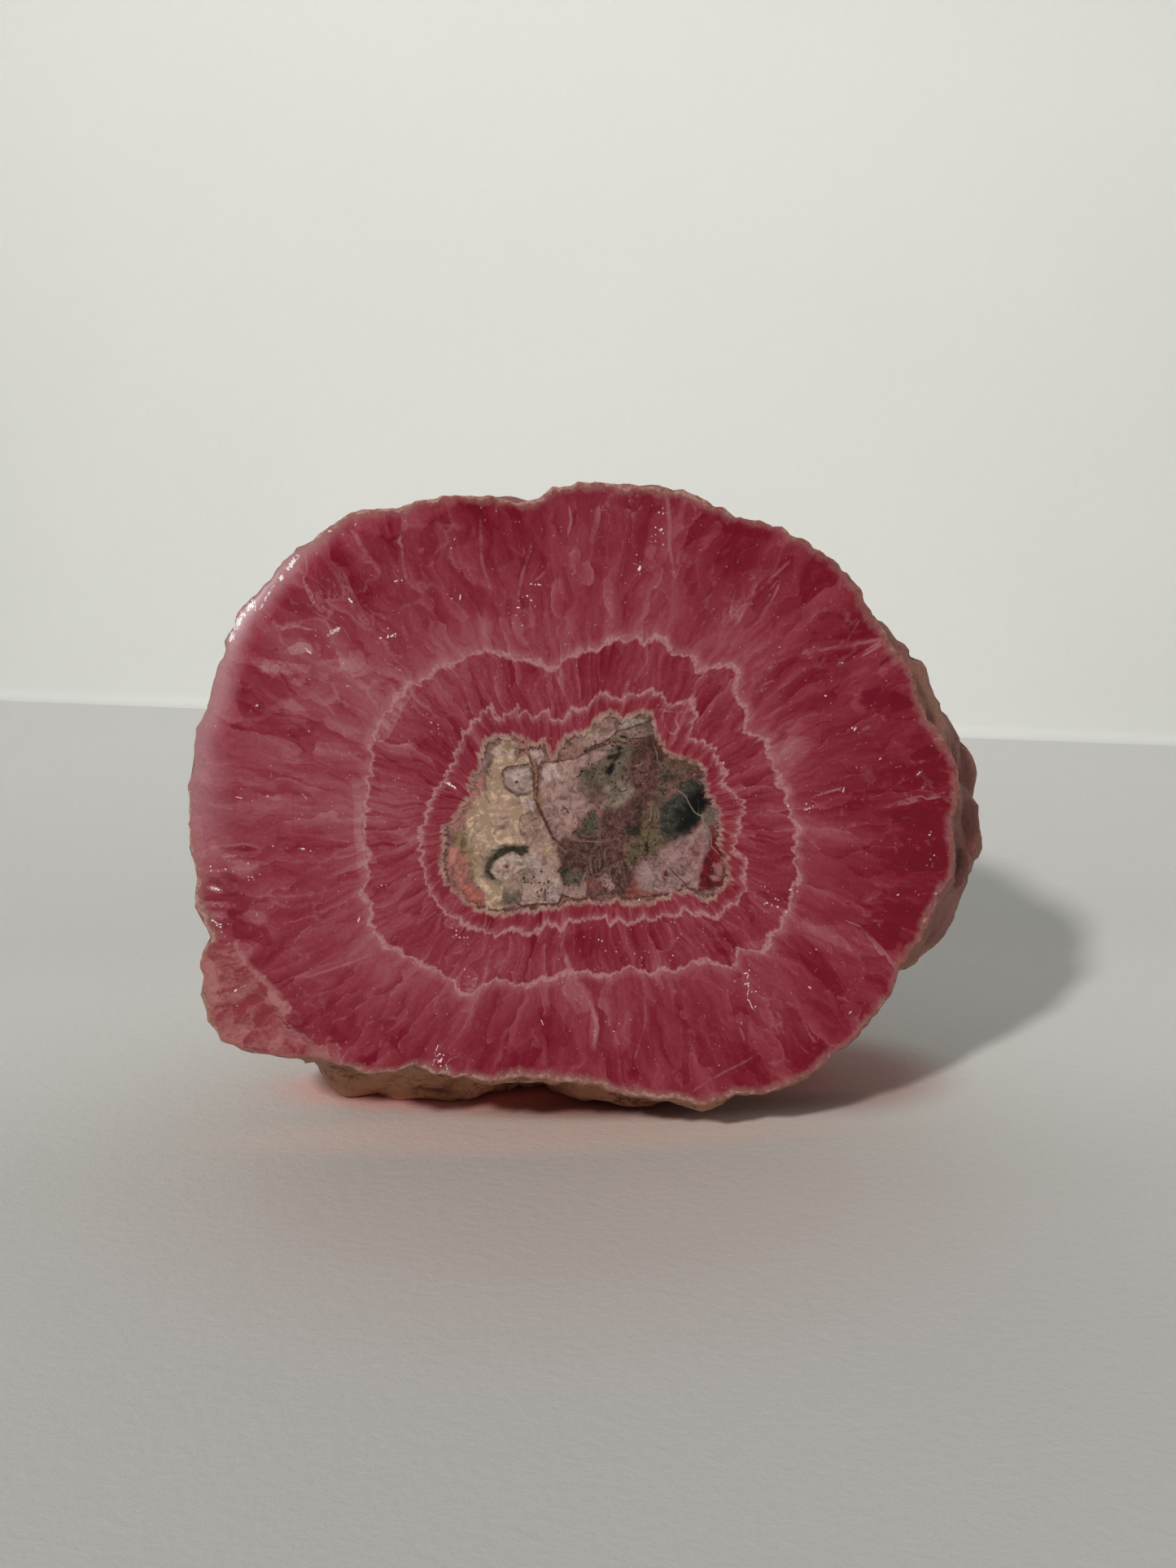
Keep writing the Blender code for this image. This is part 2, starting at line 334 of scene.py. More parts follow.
# What is drawn on the cut, in the drawing's own x and z. All of it was read off the stone.
cutMarks = {
    # outlines, clockwise from the top: x and z of each point in turn
    "outerBand": [
        0, 61.4, 1.2, 62, 1.9, 61.2, 3.4, 62, 3.9, 61.1, 5.2, 61.8, 6.3, 61.1, 7.5, 60, 9.5, 59.3, 9.8, 57.8,
        11.6, 58, 12.7, 58.4, 14.2, 58.2, 14.9, 57.3, 14.3, 55.5, 15, 54.1, 15.8, 53, 15.6, 50.8, 17, 50.1,
        18.5, 49.7, 18.1, 48.3, 18.8, 46.5, 19.9, 44.2, 21, 41.9, 21, 40.8, 22, 38.8, 21.2, 36.5, 21.9, 34.7,
        21.9, 32.5, 21.3, 30.4, 20.3, 28.2, 20.1, 26.8, 18.5, 26.4, 19.2, 25, 16.7, 24.4, 15.2, 24.3,
        14.5, 22.6, 12.4, 23, 9.8, 23.4, 8.4, 22.1, 6.3, 22.6, 4.8, 21.9, 3.4, 22.3, 1.9, 22.6, 0.9, 22.1,
        -2, 22.1, -4.2, 22.2, -5.5, 21.7, -7.6, 21.5, -9.5, 20.8, -11.1, 21.3, -12.8, 21.7, -14.5, 21,
        -15.6, 20.1, -17.1, 20.1, -17.7, 21.5, -19, 22.5, -20.8, 23.2, -22.8, 24.6, -24.6, 25.7, -26.3, 26.7,
        -27, 28.8, -27.2, 31.2, -28, 32.2, -27.2, 34.3, -27.5, 37.8, -28, 40.2, -27.3, 43, -27, 46.2,
        -26.3, 48.6, -26.7, 50, -25.8, 51.4, -25.3, 52.8, -24.2, 53.8, -23.5, 55.2, -22.8, 56.4, -21.1, 56.6,
        -19.9, 57.6, -19, 58.8, -17, 59, -15.6, 59.9, -14.5, 60.4, -12.5, 60.2, -10, 59.5, -8.7, 59.5,
        -7.6, 59, -6.4, 58.3, -5.7, 58.7, -5, 59.5, -3.6, 59.7, -3.1, 60.4, -1.4, 60.2,
    ],
    "innerBand": [
        -14.9, 52.4, -13.9, 53.5, -13.2, 53.9, -12.7, 52.7, -12, 52.4, -11, 53.2, -10.2, 54, -10, 52.9,
        -9.1, 53.7, -8.4, 52.9, -7.6, 53.2, -6.7, 53.4, -6.5, 52.5, -5, 52.4, -4.2, 53.4, -2.8, 53.8,
        -1.9, 54.6, -0.4, 55.8, 0.2, 54.8, 1.4, 54.6, 2.4, 55.8, 3.1, 55.1, 4.3, 55.5, 5.7, 55.3, 6.5, 54.6,
        7.2, 53.9, 8.5, 54.1, 9.9, 54.5, 9.6, 53.2, 9.9, 52.4, 9.1, 51.8, 9.6, 51.3, 9.3, 50.1, 10.5, 49.6,
        11.9, 48.7, 12.4, 47.3, 13.3, 46.2, 13.1, 44.8, 14.1, 43.6, 15, 42.8, 15.7, 41.7, 15, 39.7,
        14.7, 37.7, 14.6, 36.6, 15.7, 36, 16, 35.5, 15.5, 33.5, 16.1, 32.6, 15.7, 31.5, 15, 30.4, 13.6, 29.8,
        13.4, 29, 11.9, 28.7, 9.9, 29.1, 8.8, 29.5, 7.6, 28.8, 6, 28.7, 4.8, 28.3, 4, 28.8, 2.6, 28.1,
        1.4, 28.4, 0, 28.3, -0.3, 29, -1.9, 28.7, -4.2, 28.4, -4.9, 28.4, -5.3, 27.8, -7, 28.4, -7.9, 27.6,
        -8.7, 27.1, -10.1, 27.4, -11.8, 27.7, -13.2, 27.1, -14.9, 27.8, -16.6, 28.3, -18.5, 29.8,
        -19.9, 31.5, -20.7, 33.5, -21.2, 36.5, -21.4, 39, -20.8, 41.5, -19.7, 44.3, -18, 46.5, -17, 48.8,
        -16.5, 50.7,
    ],
    "coreEdge": [
        -12.4, 50.7, -13.65, 50.1, -14.4, 48.7, -14.6, 47, -15.5, 45.9, -15.8, 44.2, -16.6, 42.5, -17.8, 41,
        -18.6, 40.3, -18.7, 38.6, -19, 36.6, -18.9, 34.6, -18.3, 33.3, -17.2, 32.2, -16.3, 30.7, -14.9, 30,
        -12.9, 29.5, -10.4, 29.7, -7.9, 30.1, -5.3, 30.2, -4.2, 30.5, -2.5, 30.7, -0.3, 30.8, 1.4, 30.9,
        2.6, 30.4, 4.3, 30.5, 5.4, 30.4, 7.1, 31.4, 8.5, 31.8, 10.5, 30.9, 12.2, 30.9, 13.3, 32.2, 14, 33.2,
        13.7, 34.6, 13.4, 36, 12.9, 37.4, 12.9, 40.8, 12.4, 41.9, 11.7, 43.1, 11.3, 44.8, 11, 46.2,
        9.9, 47.3, 8.2, 47.9, 7.1, 48.2, 6.2, 49, 5.8, 50.1, 5.1, 52.1, 4.5, 53.2, 3.7, 53.1, 2.6, 52.9,
        1.4, 52.5, 0.3, 53.2, -0.8, 52.9, -1.7, 51.8, -3.1, 51, -4.8, 50.6, -5.6, 49.3, -6.3, 47.9,
        -6.9, 49.3, -7.6, 50.1, -8.7, 49.6, -9.6, 50.4, -10.7, 50.6, -11.8, 50.6,
    ],
    "lobe": [
        -45.1, 27.2, -42.3, 26.8, -41.6, 25, -41, 23.8, -39.8, 22.8, -38.9, 21.8, -37.3, 20.2, -36.5, 18.6,
        -37.3, 17, -36.8, 16.3, -35, 15.6, -34.2, 14.7, -33.5, 14.4, -31, 14.5, -31, 9, -50, 9, -50, 27.2,
    ],
    # where the crystals show as small pale scales: soft ovals
    "scaly": [
        (-30, 60, 8, 4.5, -20, 0.25), (-24, 56, 5, 4, 20, 0.12), (-29, 67, 5, 3, -50, 0.12),
        (-17, 71, 6, 4, 0, 0.08), (8, 70, 6, 5, 0, 0.06), (26, 50, 6, 6, 0, 0.1), (-40, 34, 5, 5, 0, 0.12),
        (-22, 20, 6, 4, 0, 0.08), (20, 18, 5, 5, 0, 0.1), (-34, 45, 8, 5, 0, -0.08), (0, 26, 14, 3, 0, -0.1),
    ],
    # soft patches of the red stone: x, z, half length, half width, turn, and how much paler (or darker)
    "tones": [
        # the broad patch at the left, (-36, 46), is partly the stone's own milkier tone and partly painted
        # sheen of the light from the left
        (0, 14, 26, 5, 0, -0.16), (-36, 46, 13, 25, 0, 0.92), (-31, 60, 7, 4, -20, 0.35),
        (-23.5, 38, 3.4, 9, 0, 0.5), (33, 38, 12, 22, 0, -0.42), (18, 66, 9, 8, -30, -0.35),
        (-15, 63, 5, 1.6, 0, 0.3), (-34, 23, 4.5, 1, 12, -0.3), (-28, 15.5, 5, 3.5, 0, -0.5),
        (-22, 17, 2, 4, 0, 0.3), (-19, 17, 0.6, 3.4, 0, -0.4), (-25, 22.8, 4, 1.8, -30, 0.35),
        (-5, 19, 4, 3, 0, 0.2), (35, 27, 3, 2, 40, -0.5), (17.5, 18.5, 3.4, 4.4, 0, 0.4),
        (20, 10, 6, 2.2, 10, -0.45), (5, 67, 4, 4, 0, 0.2), (15, 61.5, 5, 3, -20, 0.2),
        (20.5, 47, 3, 6, 15, 0.4), (24, 56, 4, 1.9, 10, -0.3), (30, 42, 5, 2, 5, -0.2),
        (14, 25.5, 2.4, 2, 0, -0.2), (2, 25.5, 6, 2, 0, -0.3), (18, 35, 2.2, 5, 0, -0.2),
        (0, 58, 3, 1.6, 0, 0.15), (-12, 57, 3, 1.8, 0, 0.15), (12, 53, 2.6, 3, 0, -0.2),
        (7, 57.6, 2.6, 1.4, 0, 0.3), (-17, 56, 3, 1.6, 20, 0.3), (-9, 22.6, 6, 1.2, 0, 0.35),
        (-12, 18, 2.6, 2.6, 0, 0.25), (24, 38, 4, 2, 0, 0.25), (-36, 34, 6, 5, 0, -0.35),
        (-36, 28, 5, 3, -20, -0.35), (-32, 19, 5, 4, -35, 0.2), (-16, 25.4, 4, 2.2, -35, 0.5),
        (-19, 21, 4, 2.5, -37, 0.2), (-10, 24.6, 4, 1.8, -15, 0.4), (-15, 12.8, 5, 2, 0, 0.2),
        (-5.6, 24, 3, 1.6, 0, 0.3), (-6, 16, 3, 3, 0, 0.3), (2, 10, 4, 2, 0, 0.3),
        (4, 24.4, 5, 1.6, 0, 0.35), (17.6, 33.6, 2.4, 3.5, 0, 0.4), (37, 47, 3.4, 4.5, 0, -0.65),
        (31, 44, 4, 8, 0, -0.25), (32, 55, 3.5, 4, 0, -0.3), (24, 62, 5, 4, -35, -0.35),
        (0, 65, 5, 4.5, 0, 0.4), (-5, 72.5, 4, 4, 0, 0.3), (-11.5, 63.5, 4, 4, 0, 0.25),
        (-17.4, 60.5, 4, 3, 20, 0.5), (-23, 57, 3.5, 3, 0, 0.3), (-26, 51, 3, 3, 0, 0.25),
        (-42, 46, 3.5, 7, 0, 0.25), (-43, 39, 3, 5, 0, -0.3), (-33, 14, 4, 3, -30, 0.3),
        (-28, 26, 4, 3, -40, 0.25), (-8, 12, 4, 2.4, 0, 0.1), (35.5, 41, 4, 6, 0, -0.5),
        (37, 33, 3, 4, 0, -0.25), (17, 70, 6, 3, -30, -0.35), (-29, 68, 4, 3, 45, -0.4),
        (27, 50, 5, 6, 0, -0.15), (0, 24, 6, 3, 0, -0.2), (22, 26, 3, 3, 0, -0.2), (-36, 60, 5, 6, 0, -0.15),
        (-41.9, 30.7, 1.8, 1.8, 0, -0.9), (-43.4, 26.6, 1.6, 2.2, 0, 0.8), (-15, 66, 3, 5, 0, -0.2),
    ],
    # crystal faces with crisp sides: how much paler (or darker), the point where they are most so, and the
    # outline, as x and z in turn
    "facets": [
        (0.5, [-21.5, 76.2, -27, 75.7, -28.2, 75.2, -26.5, 73.8, -25.5, 73.2, -23.3, 73.2, -19, 75.4,
            -16.5, 77]),
        (-0.6, [-24, 73, -26.4, 73.6, -27.6, 74.2, -26.6, 71.6, -25.4, 70, -22.7, 70.4, -22.6, 72.8]),
        (0.25, [-25.4, 68.4, -26, 70, -27.6, 73.4, -29.8, 74, -28.6, 70, -27.8, 68, -26.4, 67.6]),
        (-0.5, [-32, 68, -30.4, 71, -32.8, 71, -33.6, 68.8, -32.4, 66.6, -31.2, 66, -29.4, 66.3,
            -30, 68.6]),
        (-0.7, [-35, 65, -36.6, 67.4, -33.6, 67.6, -32.4, 66, -31.4, 64.8, -34, 63.8, -37.6, 63.4,
            -38.4, 64.8]),
        (-0.6, [-27.6, 68.3, -25.2, 67.8, -24.6, 67.4, -25.4, 66.4, -27, 65.8, -27.8, 67]),
        (-0.7, [-19, 75.6, -16.5, 76.8, -14, 76.6, -14, 73, -18.6, 71.2, -20.5, 71, -20.8, 73.8]),
        (-0.4, [-22.4, 70.2, -21, 70.6, -20.4, 68, -21.4, 65, -22, 67.6]),
        (1.3, [-34, 61, -36.2, 60.4, -34.4, 61.6, -33, 61.3, -32.6, 60.6, -34.8, 60.1]),
        (1.1, [-37, 58.8, -38.7, 58.3, -38, 59.7, -35.6, 59.3, -32.8, 59, -33.2, 58.2, -35.6, 58]),
        (0.8, [-30.4, 60.2, -28.9, 59.8, -28.8, 58.6, -30, 57.9, -31.4, 58.4, -32.8, 59.6]),
        (0.8, [-27.4, 59.6, -26.8, 58.8, -28.4, 57.6, -29, 58.6, -28.7, 60.4, -27.2, 60.8]),
        (0.9, [-34.2, 57, -35.6, 57.3, -34.2, 56.5, -33.3, 57.2, -33.8, 57.8]),
        (-0.8, [-41.8, 54.4, -41.7, 55.8, -40.8, 56.6, -40.9, 58, -39.8, 60, -38.6, 58.2, -35.8, 57.9,
            -35, 56.2, -36.6, 55, -38.8, 53.3, -40.8, 53.1]),
        (0.6, [-34, 53.6, -34.8, 52.4, -36, 53, -36.2, 54.8, -35.2, 55.6, -33.6, 53.8, -33, 52.6]),
        (-0.7, [-34.2, 51.2, -36.2, 51.8, -34, 52, -32.3, 52, -33, 51, -35.2, 50.8]),
        (-0.8, [-24, 56.6, -25.7, 56.2, -24.6, 57.3, -22.8, 57.2, -23.6, 55.6, -25, 55]),
        (0.9, [-25.4, 51.4, -26.5, 50, -25.8, 52.4, -24.1, 53.8, -23.4, 56, -21.4, 56.7, -21.6, 55.6,
            -23, 53.6, -24.6, 50.4]),
        (-0.7, [-20, 50.4, -22.6, 49, -20.8, 50.2, -19.2, 51, -17.4, 49.2, -18, 46.8, -21.4, 47]),
        (0.8, [-46.4, 40, -46.9, 42.4, -46, 42.2, -45.4, 39.4, -45.2, 37, -46.5, 36.8]),
        (0.7, [-45.6, 46.8, -46.4, 47.6, -44.6, 47, -43.8, 45.6, -46.3, 45.9]),
        (-1.4, [-41.4, 38.4, -42.8, 38.3, -44, 37.4, -42.4, 37.7, -40, 37.8, -38.4, 38, -40, 38.5]),
        (1.6, [-42.6, 37.2, -43.9, 37, -42.8, 37.5, -41.1, 37.6, -42, 37]),
        (-1.3, [-43, 34.9, -44, 35.5, -42.6, 35.5, -41.6, 34.8, -42.6, 33.6]),
        (0.7, [-41, 35.8, -43.2, 36.6, -40, 36.9, -37.9, 36.2, -38, 35, -41.6, 34.6]),
        (-1.2, [-44.8, 34.6, -45.4, 34.8, -44, 34.9, -43.3, 33.8, -44.8, 34]),
        (2.2, [-44.4, 33.5, -45.6, 33.8, -44.8, 33.9, -43.3, 33.2, -43.4, 32.8, -44.8, 33]),
        (1.4, [-44, 31.5, -45.8, 32, -43.4, 31.9, -41.3, 31.3, -43, 31.1, -45.6, 31.2]),
        (-1.5, [-42.8, 30.5, -43.3, 30.9, -41.3, 30.9, -42, 30.2, -42.9, 29.7]),
        (-1.4, [-40.4, 28, -42.5, 29.8, -38.9, 28.9, -38, 26.6, -39.4, 26.2, -40.2, 27.2, -42.6, 27.7]),
        (0.9, [-40.6, 30.3, -42, 30.5, -40.4, 30.9, -39, 30.6, -38.9, 29, -40.8, 29.5]),
        (1.1, [-44.2, 30.2, -45.6, 30.6, -43.7, 30.9, -43, 30, -44.2, 29.6, -45.4, 29.9]),
        (1.5, [-45.8, 30, -46.5, 31.6, -45.9, 31.4, -45.4, 29.6, -44.4, 26.9, -45.2, 27]),
        (-1.0, [-39.4, 31.8, -40.8, 31.7, -39, 32.3, -37.4, 32.4, -38.2, 31.7]),
        (0.7, [-41, 26.2, -41.8, 27, -40.8, 27.2, -40.2, 25.8, -41, 25]),
        (-0.9, [-36, 21.6, -38.7, 22, -36, 22.4, -34.4, 22.7, -32.8, 21.6, -35, 20.4, -37.6, 19.8,
            -37.6, 20.8]),
        (-0.6, [-35.6, 17, -37.4, 17, -36, 19, -34.8, 18.8, -34.3, 15.8, -36.6, 16.2]),
        (-0.6, [-32.4, 14.8, -32.5, 15.6, -31.4, 16.8, -29.8, 14.9, -32, 14.3]),
        (-0.6, [-34.6, 45, -37.6, 46, -35.8, 46, -32, 43.1, -34.6, 42.8, -36.8, 44]),
        (-0.5, [-36, 40.6, -41.6, 40, -38.4, 42.2, -33, 41.8, -30, 40.6, -33, 39, -38, 39.2]),
        (0.5, [-43.4, 39, -42.2, 39.9, -44.6, 39.2, -45, 38, -41.8, 38.8]),
        (0.6, [-28.2, 40, -28.8, 46, -27.8, 46, -27.8, 40, -27.2, 34, -28.6, 34.6, -28.6, 38]),
        (-0.6, [-26.8, 39, -27.6, 40.2, -24, 39.4, -22.2, 38, -25, 38]),
        (-0.6, [-26.6, 41.6, -27, 42.4, -24.6, 42, -22.6, 40.4, -25, 40.8]),
        (-0.7, [-41, 17.6, -43, 16.4, -43, 18, -41.8, 19.8, -39.6, 20.4, -38.2, 18, -39.4, 16.4]),
        (1.0, [-37.4, 18.6, -37.9, 19.6, -36.4, 19.2, -37.4, 17]),
        (-0.6, [-43, 19, -43.3, 18.7, -41.9, 20, -41, 20.6, -39.7, 19.4, -38.2, 19, -38.4, 16.8,
            -39.4, 15.9, -42.8, 16.6]),
        (0.7, [-46.2, 22, -46.4, 26, -44.9, 24, -44.7, 20, -44.2, 17.8, -45.4, 17.4, -46.6, 20]),
        (-0.3, [-44, 24, -44.6, 23.8, -42, 24.6, -41, 22.9, -42.6, 20.9, -43.6, 20, -44.4, 20]),
        (0.7, [-41.6, 24.8, -42.6, 26.6, -41.3, 24.5, -40.7, 24.4, -42, 27.2, -43, 27]),
        (1.1, [-37.6, 20.4, -39.2, 20.9, -38.7, 21.6, -37.4, 20.5, -36.4, 19.5, -36.8, 16.7,
            -37.9, 18.6]),
        (-0.6, [-38.6, 15.4, -39.6, 15.6, -36.6, 15.4, -35.4, 14.4, -38, 14.8]),
        (0.9, [-38.4, 20.4, -38.9, 21.8, -37.3, 20.2, -39, 19.8]),
        (0.6, [-5, 28.8, -5.4, 30, -4.1, 27.2, -5, 27.2, -5.7, 26]),
        (0.9, [-3.4, 19.6, -4.5, 22, -2.6, 20.9, -1.9, 17.6, -3.6, 17.2, -5.4, 20.4]),
        (0.8, [-1.7, 16, -1.9, 17.5, -1.1, 16.9, -1.2, 14.4, -2.2, 12.6, -2.3, 15]),
        (-0.8, [-3.2, 26, -3.9, 27.2, -1, 28, -0.6, 25.4, -3.8, 23.2, -5.3, 25.8]),
        (-0.5, [-1.8, 20.2, -3.7, 21.7, -1, 21.8, 1.4, 20.8, 0.6, 19.4, -1.4, 19.2]),
        (-0.9, [-8.8, 10.8, -7.5, 13, -8.6, 14.6, -13, 11.6, -12.6, 10.3, -9, 10]),
        (-0.7, [-7, 15, -8.4, 18.2, -6.4, 18.6, -4.2, 15, -3, 11, -7, 10.9, -6.8, 12.4]),
        (0.4, [-1.4, 10.6, -2.4, 12, 0.4, 9, -2.4, 9.4, -5, 10]),
        (-1.0, [2.6, 9.4, 2.1, 10.5, 3, 10.2, 2.9, 8.6, 2.3, 9]),
        (-0.6, [3.4, 12, 3, 8.8, 2.5, 13.6, 3.4, 16.2, 5, 16, 5.8, 11, 5, 8]),
        (0.5, [2.4, 14, 1.4, 11.8, 3, 14, 2.4, 17.4, 1.4, 17.6, 0.6, 14]),
        (1.0, [-16, 21, -17.5, 20.1, -15.4, 20.6, -14.8, 22.2, -16, 23.8, -17.7, 21.8]),
        (1.0, [-17.4, 28.8, -18.9, 29.3, -16.6, 29.4, -16.4, 28, -18.6, 28.2]),
        (-0.7, [13, 25.6, 11.9, 28, 13.2, 28.4, 15, 25, 14.2, 23.6, 12.4, 24]),
        (-0.5, [18.8, 28.2, 19.9, 27.8, 18.6, 26.8, 15, 29.4, 15.4, 30.4]),
        (0.7, [17, 25.2, 15.2, 24.5, 18.7, 25, 18.5, 26.1, 15.4, 25.6]),
        (-0.8, [26, 21.4, 20.4, 27, 23, 26, 26, 22.6, 28.2, 19.2, 26.6, 18.6, 23, 22.4]),
        (0.6, [29.4, 25, 23, 27.4, 28, 27.5, 30.2, 26, 31.9, 23.2, 28, 24.2, 23.6, 26.4]),
        (-1.2, [33, 25, 28.8, 27.2, 32.4, 27.8, 34.2, 27.2, 33.6, 24.2, 31.8, 24.2, 30.2, 25.9]),
        (-1.0, [35, 24.6, 34.3, 25.2, 36.3, 25.8, 35.4, 23.6, 34, 22.8]),
        (-0.9, [29.6, 16.6, 26.6, 18.2, 30.4, 17.8, 31.4, 16.4, 29.4, 13.9, 27.2, 15.6]),
        (-0.7, [38, 33.4, 39.4, 36.4, 34, 36, 31, 33.2, 34, 30.9, 38.6, 31, 39.6, 32]),
        (0.7, [31.4, 30.4, 28.8, 30.2, 31.2, 31.6, 33, 29.8, 30, 29.7]),
        (-0.6, [35.4, 29, 37.6, 29.8, 36.8, 28.2, 33, 28.4, 32.4, 29.5]),
        (-0.5, [0.2, 73.6, -0.9, 75.8, 0.8, 75.7, 1.6, 70.8, -1.9, 70.6, -1.2, 73.4]),
        (-1.1, [-3.7, 75.4, -4, 75.9, -3.4, 75.9, -3.7, 74.2, -4.3, 73.6]),
        (0.8, [4.8, 71.4, 3.8, 71.2, 4.6, 72.1, 5.6, 71.6, 4.6, 70.2]),
        (-0.8, [12, 75, 9.6, 76.2, 15.4, 74, 18, 73.4, 18, 72.2, 12, 73.4, 8.4, 71.6, 7, 72.4,
            9.4, 74.2]),
        (0.7, [15.8, 65.4, 16.1, 65.6, 13.6, 61.8, 14.4, 64.8]),
        (-0.6, [-9, 59, -10.2, 58.8, -8.7, 59.4, -7.5, 57.4, -8.6, 56, -10.4, 57]),
        (0.6, [-5.4, 57.4, -5.6, 58.8, -4.6, 57, -5.2, 55.8, -6.4, 57.6]),
        (-0.6, [0.6, 60, -4, 59.2, 0.6, 61, 1.7, 59.4, 0.8, 57.2, -3.4, 57]),
        (-0.6, [-9.8, 65.6, -11.4, 64, -8.6, 65.2, -9.4, 66.6, -11.4, 66]),
        (-0.6, [-9.4, 70, -10.4, 68.4, -8.2, 73.6, -8.4, 71, -9.6, 68]),
        (-1.0, [29, 62.4, 30.1, 62, 28.6, 63.4, 25, 64, 26.8, 62.8, 27, 62.1]),
        (-1.0, [30, 61.4, 31, 60.9, 29.8, 61.9, 24, 61.4, 27.6, 61]),
        (0.5, [27, 60.4, 23, 58.5, 25, 59.4, 30.4, 60.7, 26, 61, 21, 60.5, 18.4, 59.5]),
        (-1.0, [27, 59.8, 25, 59.2, 29.4, 60.2, 27.8, 59.1, 25.4, 58.9]),
        (-1.1, [23.4, 58.4, 21, 58.6, 25.2, 58.5, 23, 58.1]),
        (0.8, [31.4, 57, 30, 56.9, 31.2, 57.8, 31.9, 57.5, 31.2, 56.4]),
        (-0.8, [29.6, 54.4, 28.4, 54.9, 33, 55.8, 33.6, 53.2, 29.4, 52.9, 28.4, 53.4]),
        (0.7, [28.2, 53.4, 28.4, 54.6, 27.3, 54, 27.6, 53, 29, 52, 29.4, 52.7]),
        (-0.8, [36.4, 48.6, 36, 50.2, 38.4, 48, 38.4, 46.6, 33, 49, 32.5, 49.6]),
        (-0.9, [38.4, 44.6, 38.8, 45.7, 34.4, 44.6, 32.7, 43.6, 39.3, 43.8]),
        (-1.1, [38.6, 42, 39.4, 42.6, 36.2, 42.1, 36.6, 41.5, 39.5, 41.3]),
        (-0.8, [37.6, 38.6, 39.3, 41, 36.6, 41.1, 32.4, 41, 33.2, 36.2, 38.6, 35.6]),
        (0.7, [20.2, 44.2, 18.6, 46, 21, 44.5, 21, 43, 19.4, 44]),
        (0.5, [20.6, 49, 19, 47, 21, 51.6, 24, 51, 24.4, 49, 20.4, 45.6]),
    ],
    # how wide the rind shows as a pale rim on the cut: angle round the cut's middle, width
    "rimWidth": [
        (-180, 0.15), (-170, 0.3), (-166, 0.7), (-160, 0.5), (-156, 0.1), (-140, 0.1), (-125, 0.4),
        (-110, 0.65), (-88, 0.75), (-70, 0.75), (-55, 0.55), (-42, 0.35), (-33, 0.3), (-24, 0.45),
        (-17, 0.5), (-10, 0.45), (0, 0.45), (12, 0.4), (30, 0.45), (45, 0.25), (60, 0.25), (75, 0.55),
        (90, 0.45), (105, 0.3), (120, 0.35), (130, 0.3), (140, 0), (165, 0), (180, 0.15),
    ],
    # the painted sheen along the rolled edge, a milky band that stands in for the lamp's broad reflection:
    # its middle and half spread in degrees, how wide it is at which angle, and how dense it is at which
    # share of that width
    "paintedSheenSpan": (158, 29),
    "paintedSheenWidth": ((125, 140, 165, 176, 186), (1.9, 2.5, 3.1, 5.5, 6.5)),
    "paintedSheenDensity": ((0, 0.15, 0.4, 0.65, 1), (0.95, 0.8, 0.68, 0.36, 0)),
    # where tiny painted glints gather: soft ovals
    "sparkle": [
        (-31, 62.8, 1.3, 0.8, 30, 1), (-24, 62, 2, 0.7, -20, 0.8), (-23.4, 68.2, 0.8, 0.4, 0, 0.8),
        (-29.4, 57.6, 1, 1, 0, 0.8), (-24.4, 58, 1, 0.5, 0, 0.8), (-17.6, 69, 0.5, 4, 0, 0.6),
        (-9, 66.6, 0.9, 1.8, -30, 1), (3.2, 69.6, 0.7, 2, -15, 1), (5.7, 74.6, 0.6, 2.2, 0, 1),
        (-20, 52.6, 2, 0.6, -35, 0.8), (-17.6, 28, 1.4, 1.2, -40, 1), (-15.8, 21.8, 1, 1.4, 20, 1),
        (19.6, 30.8, 2, 1.6, 20, 1), (16.4, 19.6, 1, 3, 15, 0.9), (22.6, 41.5, 2.2, 0.6, 0, 1),
        (20.4, 41.4, 0.9, 0.5, 0, 0.8), (-44.2, 36, 1.6, 1.4, 0, 0.9), (-40.6, 35.6, 2.6, 1.2, 0, 0.6),
        (-44, 29.2, 1.6, 1, 0, 0.9), (-40.4, 30.2, 1.4, 0.7, 0, 0.9), (-19.2, 12.4, 1.2, 1.4, 0, 1),
        (-41.6, 21.8, 1.9, 0.35, 48, 1), (1, 15.6, 0.8, 1.4, 0, 0.9), (-26.6, 33, 1, 1, 0, 0.7),
        (12.8, 46.6, 0.8, 0.6, 0, 0.8), (28.2, 50.6, 0.6, 0.6, 0, 0.9), (35.6, 45.4, 0.8, 0.8, 0, 1),
        (-34, 38, 1.4, 0.5, 0, 0.8), (12, 70.6, 0.4, 1.6, 0, 0.6), (11.6, 64.8, 0.9, 0.5, 0, 0.7),
        (37.2, 38.2, 1, 0.6, 0, 0.8), (37.2, 35.5, 0.8, 0.4, 0, 0.8), (6, 25.6, 4, 2.4, 0, 0.35),
        (0, 26, 4, 2, 0, 0.35), (29.4, 27.2, 1, 0.4, 0, 0.8), (33.6, 30.8, 0.8, 0.6, 0, 0.9),
        (38.2, 31, 0.6, 0.6, 0, 0.9), (-13, 69, 0.5, 2, 0, 0.6), (-1.6, 15.4, 0.5, 1.2, 0, 0.7),
        (23, 52.8, 0.9, 0.2, 0, 1),
    ],
}


